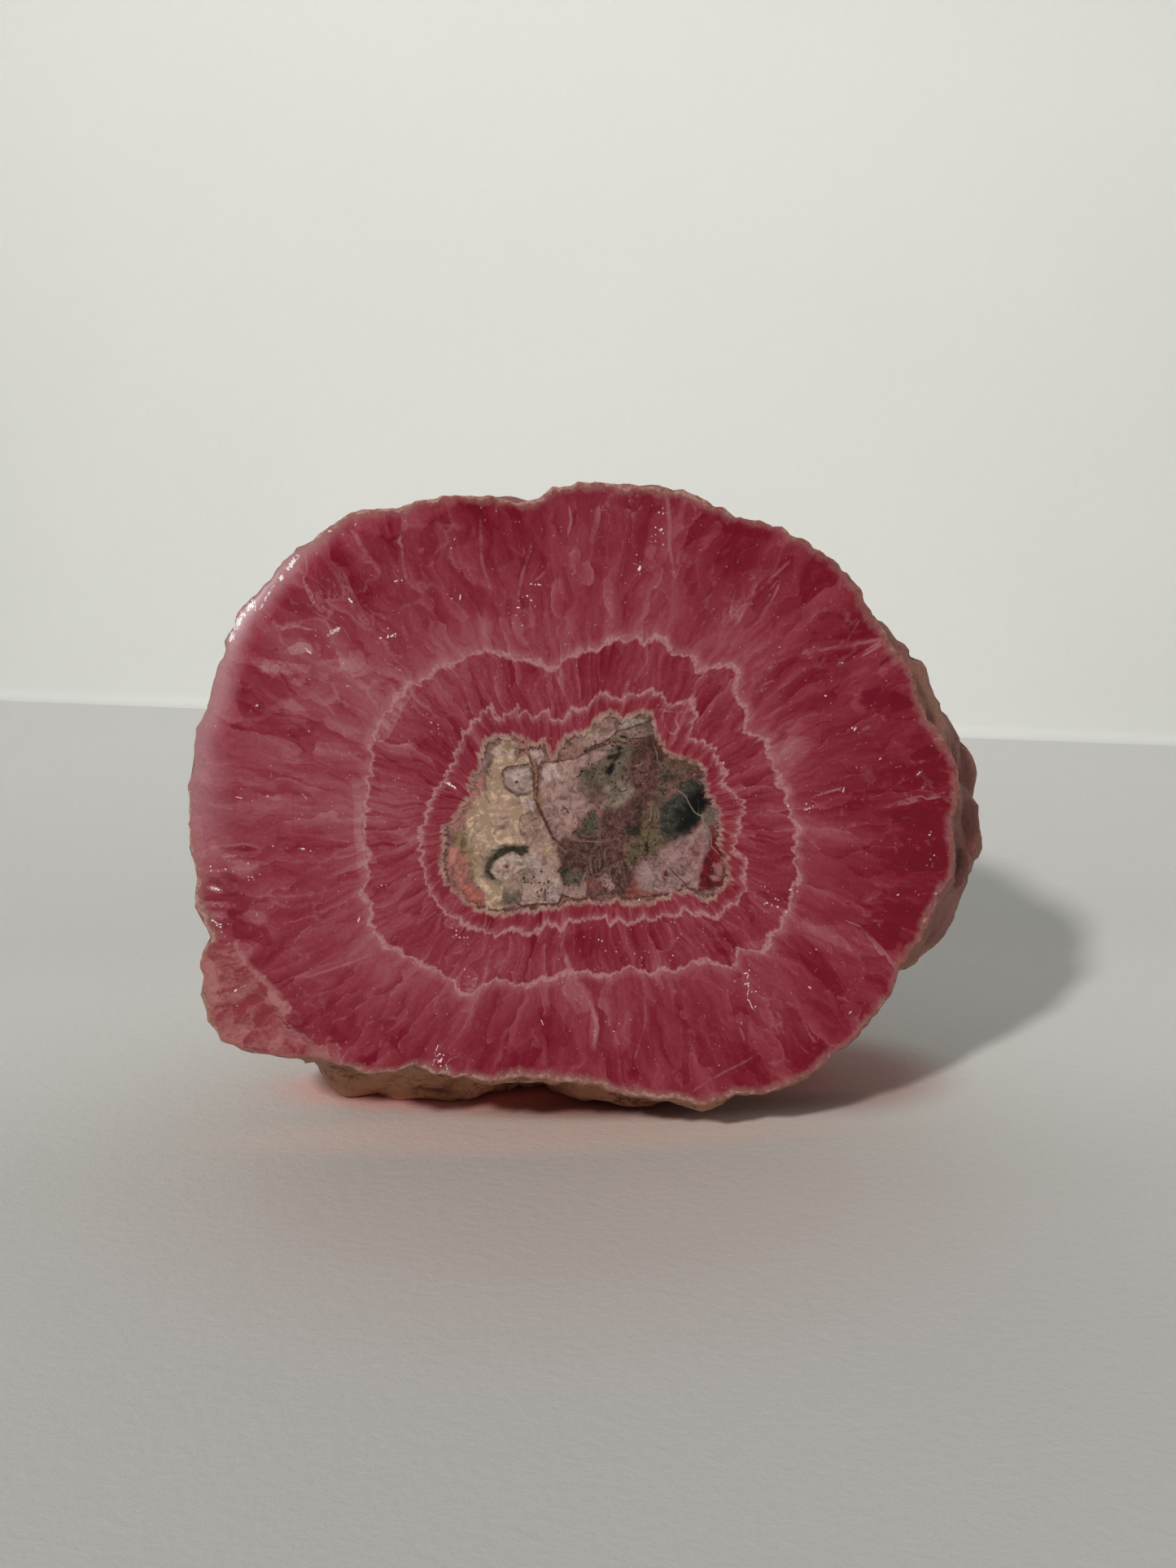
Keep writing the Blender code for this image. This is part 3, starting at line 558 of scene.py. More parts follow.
def outlineDistance(x, z, numbers):
    # distance to the nearest side of a closed outline, below 0 within it
    outline = pointsOf(numbers)
    near = np.full(x.shape, 1e9)
    within = np.zeros(x.shape, bool)
    for (x0, z0), (x1, z1) in zip(outline, outline[1:] + outline[:1]):
        alongX, alongZ = x1 - x0, z1 - z0
        share = np.clip(((x - x0) * alongX + (z - z0) * alongZ) / (alongX**2 + alongZ**2), 0, 1)
        near = np.minimum(near, np.hypot(x - x0 - share * alongX, z - z0 - share * alongZ))
        if alongZ:
            within ^= ((z0 > z) != (z1 > z)) & (x < x0 + (z - z0) * alongX / alongZ)
    return np.where(within, -near, near)


def lineField(x, z, lines):
    # for the nearest line: signed distance over its half width, and its strength, which fades at its ends
    best = np.full(x.shape, 1e9)
    side = np.full(x.shape, 50.0)
    strength = np.zeros(x.shape)
    for halfWidth, power, numbers in lines:
        points = np.array(pointsOf(numbers), float)
        steps = np.hypot(*np.diff(points, axis=0).T)
        along = np.concatenate([[0], np.cumsum(steps)])
        for index, ((x0, z0), (x1, z1)) in enumerate(zip(points[:-1], points[1:])):
            alongX, alongZ = x1 - x0, z1 - z0
            raw = ((x - x0) * alongX + (z - z0) * alongZ) / (alongX**2 + alongZ**2)
            share = np.clip(raw, 0, 1)
            away = np.hypot(x - x0 - share * alongX, z - z0 - share * alongZ) / halfWidth
            across = ((x - x0) * alongZ - (z - z0) * alongX) / steps[index] / halfWidth
            at = along[index] + raw * steps[index]
            ends = smoothStep(1 + np.minimum(at, along[-1] - at) / 0.8)
            closer = away < best
            best = np.where(closer, away, best)
            side = np.where(closer, np.where(across < 0, -away, away), side)
            strength = np.where(closer, power * ends, strength)
    return side, strength


def alongAcross(x, z, atX, atZ, halfLength, halfWidth, turn):
    # the place along and across a turned mark, in its half lengths and half widths
    turn = math.radians(turn)
    along = ((x - atX) * math.cos(turn) + (z - atZ) * math.sin(turn)) / halfLength
    across = ((z - atZ) * math.cos(turn) - (x - atX) * math.sin(turn)) / halfWidth
    return along, across


def dashField(x, z, dashes):
    # for the nearest of these short dashes: the place along and across it, and its strength
    best = np.full(x.shape, 1e9)
    found = np.zeros((len(x), 3))
    for *dash, strength in dashes:
        along, across = alongAcross(x, z, *dash)
        away = np.hypot(x - dash[0], z - dash[1])
        closer = away < best
        best = np.where(closer, away, best)
        found[closer] = columns(along, across, np.full(x.shape, strength))[closer]
    return found


def softSpots(x, z, spots):
    # the sum of soft ovals, which are highest in their middle
    total = np.zeros(x.shape)
    for *spot, height in spots:
        along, across = alongAcross(x, z, *spot)
        total += height * np.exp(-(along**2) - across**2)
    return total


def facetField(x, z, facets):
    # for the nearest facet: signed distance to its outline, and its tone, which fades from its first point
    best = np.full(x.shape, 1e9)
    tone = np.zeros(x.shape)
    for height, (firstX, firstZ, *outline) in facets:
        gap = outlineDistance(x, z, outline)
        reach = max(math.hypot(px - firstX, pz - firstZ) for px, pz in pointsOf(outline))
        fade = 1 - 0.45 * smoothStep(np.hypot(x - firstX, z - firstZ) / reach)
        closer = gap < best
        best = np.where(closer, gap, best)
        tone = np.where(closer, height * fade, tone)
    return best, tone


fibreFan = {
    "middle": (-3.0, 41.0),
    "focus": 12.0,
    "scale": 22.0,
    # the long flat crystals: how many, a seed, and the range of their starts, lengths, half angles and tones
    "blades": (420, 71),
    "starts": (17, 40),
    "lengths": (5, 18),
    "halves": (0.018, 0.07),
    "tones": (0.05, 0.26),
}


def fanPlace(x, z):
    # the crystals grow square to ovals round the core: each point's oval angle and its distance out,
    # from the inverse cosh of (x + iz) / focus. The angle goes into a circle, so that it has no seam.
    focus = fibreFan["focus"]
    place = np.arccosh(((x - fibreFan["middle"][0]) + 1j * (z - fibreFan["middle"][1])) / focus + 1e-9j)
    out = focus * np.exp(place.real) / 2
    return place.imag, out


# The core's patches, from the lowest: colour as seen, softness of the edge in mm, and the outline's x and z
corePatches = {
    "leftPink": ((128, 103, 99), 0.6, [-14.6, 50.6, -13.4, 51.2, -12.1, 51, -13.2, 48.4, -13.8, 46.5,
        -14, 44, -15.8, 42.6, -16.7, 43.6, -16.3, 46, -15.2, 47.2, -15, 49]),
    "orangeEdge": ((143, 100, 91), 0.8, [-14, 46.8, -13.8, 44, -15.6, 41.6, -16.3, 39.8, -17.5, 38.8,
        -18.2, 40.2, -17.3, 42.2, -16.2, 44, -15, 45.6]),
    "cream": ((170, 144, 124), 0.4, [-12.1, 49.3, -12.6, 48.2, -13.3, 47.3, -13.9, 46, -13.8, 44.2,
        -15, 43, -16, 41.6, -16.2, 40.2, -16.6, 39.4, -16.3, 38.4, -15.6, 37.3, -15.6, 34.5, -15.2, 33.4,
        -14, 32.4, -14, 30, -12.3, 30, -12.2, 31.3, -11.9, 33, -10.4, 35, -9, 37.4, -9.1, 38.2, -9.8, 39.2,
        -10, 40.2, -9.9, 41.2, -9, 41.6, -8.5, 42.4, -8.5, 47.2, -9.2, 48.2, -10.8, 48.2, -11, 48.8]),
    "creamPink": ((166, 136, 120), 1.1, [-13.2, 43.2, -11.8, 43.6, -10.6, 42.6, -10.9, 40.6, -10.6, 38.8,
        -12.4, 38.6, -13.2, 41.8]),
    "paleByCrack": ((148, 128, 122), 0.3, [-9.7, 43.3, -8.5, 43.3, -8, 42.2, -8.6, 41.7, -9.5, 42.3]),
    "oliveHigh": ((120, 99, 74), 0.6, [-17.4, 39.6, -16.4, 39.8, -16.2, 38.4, -16.8, 37.4, -17.3, 38]),
    "oliveLow": ((132, 110, 82), 0.8, [-16.9, 37.6, -15.5, 37.7, -14.9, 36, -15, 34.4, -15.7, 34.6,
        -16, 36.2]),
    "salmon": ((150, 98, 89), 0.9, [-18, 37.6, -16.8, 37.2, -16, 36.3, -15.7, 35, -15.6, 33.8,
        -16.6, 33.5, -17.5, 33.7, -18.3, 35.2]),
    "salmonLow": ((147, 88, 79), 0.9, [-17.5, 33.6, -16, 33.7, -15.3, 33, -14.2, 32.2, -14, 30.6,
        -15.6, 30.6, -16.6, 32.4]),
    "topFringe": ((113, 90, 82), 0.4, [-14.3, 50.4, -12.9, 51, -12, 50.4, -12.9, 49, -13.9, 48.8]),
    "topCluster": ((174, 150, 136), 0.35, [-13.2, 48.6, -12.4, 49.5, -11.8, 50.6, -11, 50.5, -10.3, 49.8,
        -10.3, 48.9, -10.9, 48.1, -12.2, 48.1]),
    "topSpot": ((126, 107, 78), 0.3, [-11.7, 49.9, -11, 50.2, -10.8, 49.4, -11.3, 48.8, -11.8, 49.3]),
    "topRed": ((138, 94, 86), 0.4, [-10.6, 48.4, -10.2, 49.6, -10.8, 50.8, -9.2, 50.5, -8.9, 48.9,
        -9.5, 48.2]),
    "creamBar": ((166, 137, 121), 0.2, [-11.2, 48, -9.3, 48.2, -9, 47.4, -10.8, 47.3]),
    "cellRim": ((88, 66, 62), 0.22, [-12.05, 46.4, -11.6, 47, -9.1, 47.3, -8.4, 46.4, -8.15, 45.4,
        -8.3, 44.2, -9.2, 43.5, -10.3, 43.3, -11, 43.8, -11.7, 44.5, -12, 45.2]),
    "cell": ((146, 122, 115), 0.3, [-11.75, 46.3, -11.4, 46.7, -9.2, 47.05, -8.7, 46.4, -8.5, 45.4,
        -8.6, 44.4, -9.3, 43.9, -10.3, 43.7, -10.9, 44.1, -11.5, 44.8]),
    "cellHigh": ((163, 141, 134), 0.4, [-11.3, 45.5, -11, 46.2, -9.2, 46.8, -8.8, 46, -8.7, 45.1,
        -9.8, 45.2]),
    "seamBrown": ((134, 98, 81), 0.2, [-9, 48.4, -8.4, 46.8, -8.4, 44.4, -8.2, 43.4, -7.8, 44.2,
        -7.9, 46.6, -8.5, 48.4]),
    "seamCrystals": ((136, 101, 79), 0.3, [-8.9, 50.2, -7.3, 50.4, -6.9, 49.2, -6.5, 48.2, -7.1, 48.4,
        -7.2, 49.1, -8.7, 49.1]),
    "paleBlock": ((167, 137, 133), 0.2, [-8.8, 48.9, -7.2, 49, -7, 48.2, -7.5, 47.6, -7.8, 46.9,
        -8.4, 47.9]),
    "blockStripe": ((178, 155, 148), 0.2, [-8.6, 48.6, -7.3, 48.8, -7.2, 48.5, -8.5, 48.3]),
    "pinkStrip": ((145, 117, 106), 0.3, [-9.9, 41.3, -8.6, 41.6, -7.6, 41.1, -6.9, 40, -6.1, 38.5,
        -5.5, 37.4, -5.3, 35.8, -5.5, 34.4, -7.4, 34.8, -9, 36.2, -9.1, 37.4, -9, 38.4, -9.9, 39.2,
        -10.1, 40.3]),
    "stripYellow": ((168, 146, 118), 0.5, [-7.6, 37.9, -7, 37.9, -6.6, 36.6, -7, 36.4]),
    "halo": ((125, 108, 94), 0.35, [-8.9, 37.7, -11, 38.15, -12.4, 37.8, -13.6, 36.9, -14.6, 35.4,
        -14.3, 34.1, -13.5, 33.2, -12, 33, -11.4, 33.8, -9, 36.6]),
    "darkArc": ((48, 45, 34), 0.3, [-9.1, 37.5, -10, 37.65, -11, 37.9, -12, 37.6, -12.9, 37, -13.7, 36.2,
        -14.2, 35.2, -13.9, 34.3, -13.3, 33.7, -12.8, 33.9, -9.6, 36.4, -9.2, 36.6]),
    "rosette": ((161, 138, 130), 0.25, [-13.3, 34.9, -13.1, 35.7, -12.5, 36.1, -11.8, 36.8, -10.9, 37.05,
        -10.2, 36.6, -9.7, 36.3, -9.3, 36.8, -8.6, 36.8, -7.8, 36.2, -7.7, 35.2, -8.9, 34.8, -9.9, 35,
        -10.6, 34.2, -11.2, 33.8, -12.2, 33.8, -12.9, 34.2]),
    "rosetteFold": ((142, 112, 108), 0.3, [-12.9, 34.8, -11.6, 34.9, -10.6, 35.5, -10.4, 35.2,
        -11.4, 34.6, -12.6, 34.5]),
    "rosetteHeart": ((108, 62, 48), 0.3, [-11.8, 35.4, -11.3, 35.7, -11, 35.2, -11.5, 34.9]),
    "tanSide": ((132, 110, 97), 0.35, [-10.7, 34.5, -9.6, 35, -9.2, 34.2, -9.5, 33, -11.8, 33,
        -11.6, 33.7]),
    "greyPatch": ((130, 108, 96), 0.3, [-11.9, 33.3, -9.9, 33.3, -9.8, 32, -9.9, 30.6, -12, 30.4,
        -12.2, 31.2, -11.9, 32.4]),
    "greyDeep": ((98, 86, 77), 0.5, [-11.9, 32, -10.2, 32, -10.1, 31.1, -11.6, 31]),
    "whiteMottled": ((153, 127, 119), 0.25, [-9.6, 34, -8.6, 35.1, -6.9, 34.9, -5.5, 34.5, -5.3, 33,
        -5.5, 30.9, -7.6, 30.8, -9.9, 30.7, -9.9, 32.4]),
    "whiteBlock": ((161, 137, 134), 0.2, [-6.9, 32.8, -6, 33.1, -5.6, 31.2, -6.9, 31]),
    "lowMauve": ((76, 50, 46), 0.6, [-5.9, 37.8, -5, 38.5, -3.4, 38.1, -0.9, 38.2, -0.4, 38.8, -0.9, 40,
        -0.8, 41.4, 0, 42.1, 1.7, 42.1, 2.3, 43.2, 3, 44.4, 2.4, 45.6, 2, 47.6, 2.3, 48.9, 3, 49.7,
        5.4, 50.1, 6.3, 49.1, 7, 48.2, 6.2, 47, 5.7, 45.6, 5.6, 44.4, 5, 43.4, 4.5, 42.2, 3.9, 41, 3.7, 39.8,
        2.6, 38.6, 1.9, 37.2, 1.9, 36, 2.8, 34.6, 3.4, 33, 3.2, 31.4, 1, 31.6, -0.5, 31.8, -2.6, 31.4,
        -2.8, 33, -5.2, 34, -5.5, 35.4]),
    "mauveGlow": ((84, 58, 54), 0.8, [2.6, 46.4, 3.4, 47.6, 4, 47, 3.8, 45.2, 3.2, 44.6, 2.6, 45.4]),
    "lowRed": ((97, 56, 52), 0.7, [-2.4, 33.4, -1.2, 33.6, -0.8, 32, -2.2, 31.7]),
    "lowRedRight": ((111, 61, 57), 0.7, [2, 32.6, 3.2, 33.4, 3.8, 32.2, 6, 31.6, 5, 31.2, 2, 31.2]),
    "lowSpeckled": ((74, 64, 54), 0.6, [-5.7, 35, -4.6, 35.3, -3.4, 34.9, -2.7, 33.8, -2.8, 32.7,
        -4.6, 32.8, -5.4, 33.7]),
    "lowPale": ((137, 109, 102), 0.3, [-5.5, 32.6, -4.4, 33, -3.4, 32.8, -2.6, 33.2, -2.5, 31.6,
        -3.6, 31.3, -4.6, 31.6]),
    "vein": ((147, 113, 110), 0.35, [-1, 33.5, -0.3, 34.3, 0.1, 34, 0.3, 33.2, 0.9, 32.6, 0.4, 32.1,
        -0.3, 32, -0.1, 32.6, -0.5, 33]),
    "oliveZone": ((88, 73, 57), 0.8, [2, 36.4, 1.8, 35.8, 2.8, 35, 3.3, 33.6, 3.5, 35.9, 5, 36.1,
        6.2, 37, 6.4, 38.2, 5.8, 39.4, 5.7, 41, 6, 42, 6.6, 43, 6.9, 44.2, 5.5, 44.2, 5, 43, 4.6, 42, 4, 41,
        3.9, 39.6, 2.8, 38.5, 2, 37.6]),
    "oliveDark": ((36, 34, 26), 0.8, [2.6, 39.6, 3.6, 40, 3.8, 39, 3.4, 38.2, 2.6, 38.4]),
    "tanHigh": ((85, 68, 58), 0.8, [5.2, 44, 6.6, 44.6, 7.2, 43.9, 6.6, 42.9, 5.4, 42.6]),
    "slab": ((87, 67, 58), 0.7, [5.9, 47.4, 7.1, 48.1, 8.6, 48, 9.8, 47.3, 10.9, 46.2, 11.2, 45,
        10, 45.3, 9, 44.9, 8.6, 43.9, 7.2, 44.2, 6.2, 45, 6, 46.2]),
    "slabRed": ((90, 60, 55), 0.9, [9.2, 46.4, 10.4, 46.6, 10.8, 45.5, 10, 45, 9.2, 45.2]),
    "slabDark": ((74, 60, 53), 0.8, [6, 46.2, 7, 46.4, 7.5, 45.4, 6.4, 44.3, 5.8, 45]),
    "ovalGrey": ((54, 53, 48), 1.0, [5.8, 40.6, 6, 42, 6.6, 42.7, 7.4, 43.3, 8.4, 44, 9.2, 44.9,
        10.4, 45.2, 11.3, 44.8, 11.6, 43.2, 11, 41.4, 10.3, 40, 9, 38.7, 8, 38.5, 6.8, 38.3, 6, 38.8,
        5.7, 39.6]),
    "ovalBlack": ((2, 4, 4), 1.7, [8.9, 43, 9.6, 43.9, 10.6, 44.3, 11.4, 44.4, 11.8, 43.2, 11.7, 42.4,
        11.1, 41.2, 10.4, 39.9, 9.6, 39.2, 9, 38.5, 8, 38.5, 7.6, 39.2, 8, 40.4, 8.7, 41.6]),
    "ovalBlue": ((20, 26, 24), 1.4, [9, 41.4, 9.9, 41.2, 10, 40.4, 9, 39.8, 8.4, 40.4]),
    "plateGrey": ((58, 54, 47), 0.6, [6.2, 38.6, 7.6, 38.8, 9, 38.4, 8.4, 37.7, 6.4, 37.4]),
    "palePlate": ((137, 105, 103), 0.5, [3.2, 35.2, 3.6, 35.8, 5.2, 35.9, 6.2, 36.9, 7, 37.7, 8, 37.9,
        9.2, 38.5, 10, 39.2, 10.8, 40, 11.4, 39.2, 11.6, 38.4, 11.4, 37, 11, 35.8, 10.4, 34.4, 10.5, 33,
        10.3, 32.1, 9, 32.2, 7.4, 31.9, 6, 31.6, 3.9, 32.1, 3.3, 33.4]),
    "plateBright": ((144, 117, 114), 0.9, [3.8, 35, 5.4, 35.2, 6, 33.6, 5.6, 32.6, 4, 32.8]),
    "plateBlush": ((142, 99, 96), 0.8, [9.6, 37.4, 10.6, 38.4, 11, 37, 10.2, 35, 9, 35.6]),
    "plateSpot": ((76, 42, 40), 0.3, [6.2, 34.5, 6.7, 34.6, 6.95, 33.9, 6.6, 33.1, 6.1, 33.5]),
    "paleEdge": ((105, 90, 83), 0.4, [11.2, 41.4, 11.9, 42, 12.4, 41.2, 12.3, 40.2, 11.6, 39.5, 11, 39.7,
        10.7, 40.3, 10.9, 41]),
    "redSliver": ((90, 23, 31), 0.3, [11.7, 39.2, 12.2, 38.9, 12.9, 37.4, 13.4, 36, 13.6, 34.4,
        13.4, 32.6, 11.4, 32, 10.5, 32.2, 10.6, 34.4, 11.2, 36, 11.7, 37.6]),
    "sliverHigh": ((102, 56, 54), 0.5, [11.3, 39.6, 12.3, 40, 12.4, 38.8, 11.8, 38.4]),
    "sliverCrystals": ((142, 93, 91), 0.4, [12.2, 35, 13.1, 35.5, 13.4, 34.4, 13.1, 33.4, 12, 32.9,
        11.6, 33.6, 12.1, 34.2]),
    "pinkPlate": ((142, 112, 106), 0.3, [-7.5, 46.9, -7.2, 47.4, -3.5, 47.9, -2.4, 48.2, 0, 49.1,
        0.6, 48.7, -0.4, 47.9, -1.6, 47, -2.9, 46.6, -3.2, 45, -2.6, 43.6, -1.6, 42.6, -1.8, 41.8, -3, 40.7,
        -4, 39.6, -4.3, 38.8, -5.6, 38.3, -6.4, 39.4, -7.2, 41, -7.9, 42.8, -7.8, 44.8]),
    "plateBrown": ((100, 79, 70), 1.1, [-3.2, 44.4, -1, 44.8, -0.2, 43.6, -0.8, 42.2, -2.4, 42.6]),
    "whiteBlob": ((170, 146, 140), 0.25, [-7.3, 46.9, -6.9, 47.3, -6.1, 47.2, -5.6, 46.3, -5.5, 45.6,
        -6.1, 45.2, -7.1, 45.2, -7.5, 45.9]),
    "tinyBlob": ((156, 129, 122), 0.2, [-5.5, 45.4, -5.2, 45.9, -4.9, 47.3, -4.6, 47.3, -4.8, 45.4,
        -5.2, 45.1]),
    "plateCrystals": ((124, 96, 74), 0.3, [-7.9, 43.7, -7.3, 43.7, -7.1, 42.2, -7.7, 42]),
    "greenZone": ((94, 83, 71), 1.1, [-3.2, 46.6, -1.6, 47, -0.2, 48, 1, 49.4, 2.6, 49.4, 2.4, 47.5,
        2, 45.8, 1.4, 44.6, -0.8, 44.4, -2.8, 44.8, -3.2, 45.6]),
    "tanMottling": ((121, 106, 93), 0.8, [-0.4, 44.6, 0.8, 45.2, 2.2, 44.8, 2.8, 44, 2.4, 43, 1.6, 42.3,
        0.4, 42, -0.8, 42, -0.3, 43]),
    "greenHigh": ((31, 34, 23), 0.35, [0.9, 49.3, 1.6, 49.3, 1.4, 48.3, 0.6, 48.1, -0.2, 48, -0.1, 47.6,
        0.9, 47.5, 1.3, 48]),
    "greenLow": ((12, 17, 9), 0.35, [0.5, 47.5, 0.9, 46.9, 0.6, 46, 0.1, 45.7, -0.5, 46.2, -0.2, 46.8]),
    "greyGreen": ((78, 72, 59), 0.5, [-2.6, 41.2, -1.6, 41.6, -1, 40.8, -1.1, 39, -3.1, 38.6, -4, 39,
        -3, 39.8]),
    "crystalRow": ((117, 95, 84), 0.4, [-2.8, 48.4, -2.8, 49, -0.8, 49.5, 0.8, 50.9, 1.2, 51, 3.4, 51.6,
        5.2, 52.2, 6, 51.6, 6.3, 50.6, 5.6, 50, 4.6, 50.2, 3, 49.8, 1.9, 49.4, 0.4, 49.4]),
    "rowPale": ((124, 96, 90), 0.3, [0.8, 50.8, 3.2, 51.4, 4.2, 51.2, 3, 50.6, 2.2, 50.8, 1.2, 50.5]),
    "brownHigh": ((137, 105, 92), 0.5, [-6.4, 47.9, -5.6, 49, -5.2, 51, -3.2, 51.5, -2.6, 51.2, -4, 50.2,
        -4.4, 49.3, -3.3, 48.8, -3.2, 48.2, -5, 47.9]),
    "upperSlab": ((147, 117, 110), 0.25, [-4.2, 49.8, -3.6, 50.8, -2.8, 51.2, -1.4, 52, -0.6, 53,
        0.4, 52.9, 1.2, 52.4, 1.1, 51.1, 0.3, 50.2, -1, 49.5, -2.2, 49.2, -3.6, 49]),
    "slabShade": ((68, 58, 54), 0.6, [0.6, 52.2, 1.1, 52, 1.1, 51, 0.6, 51]),
    "slabSpot": ((172, 152, 124), 0.4, [-2.9, 51, -1.8, 51.2, -1.4, 50, -2.3, 50.1]),
    "greenSlab": ((148, 132, 122), 0.25, [1.2, 51.9, 1.8, 52.3, 3, 52.5, 4.2, 51.9, 3, 51.4, 1.2, 51.1]),
    "slabCorner": ((112, 89, 80), 0.35, [3.2, 52.6, 4.4, 52.8, 4.9, 52.1, 4.2, 51.9]),
    "redNotch": ((76, 20, 30), 0.25, [-7.1, 51, -7.1, 49.6, -6.6, 48.6, -6.3, 47.9, -5.8, 48.8,
        -5.4, 50.2, -5.2, 51]),
}

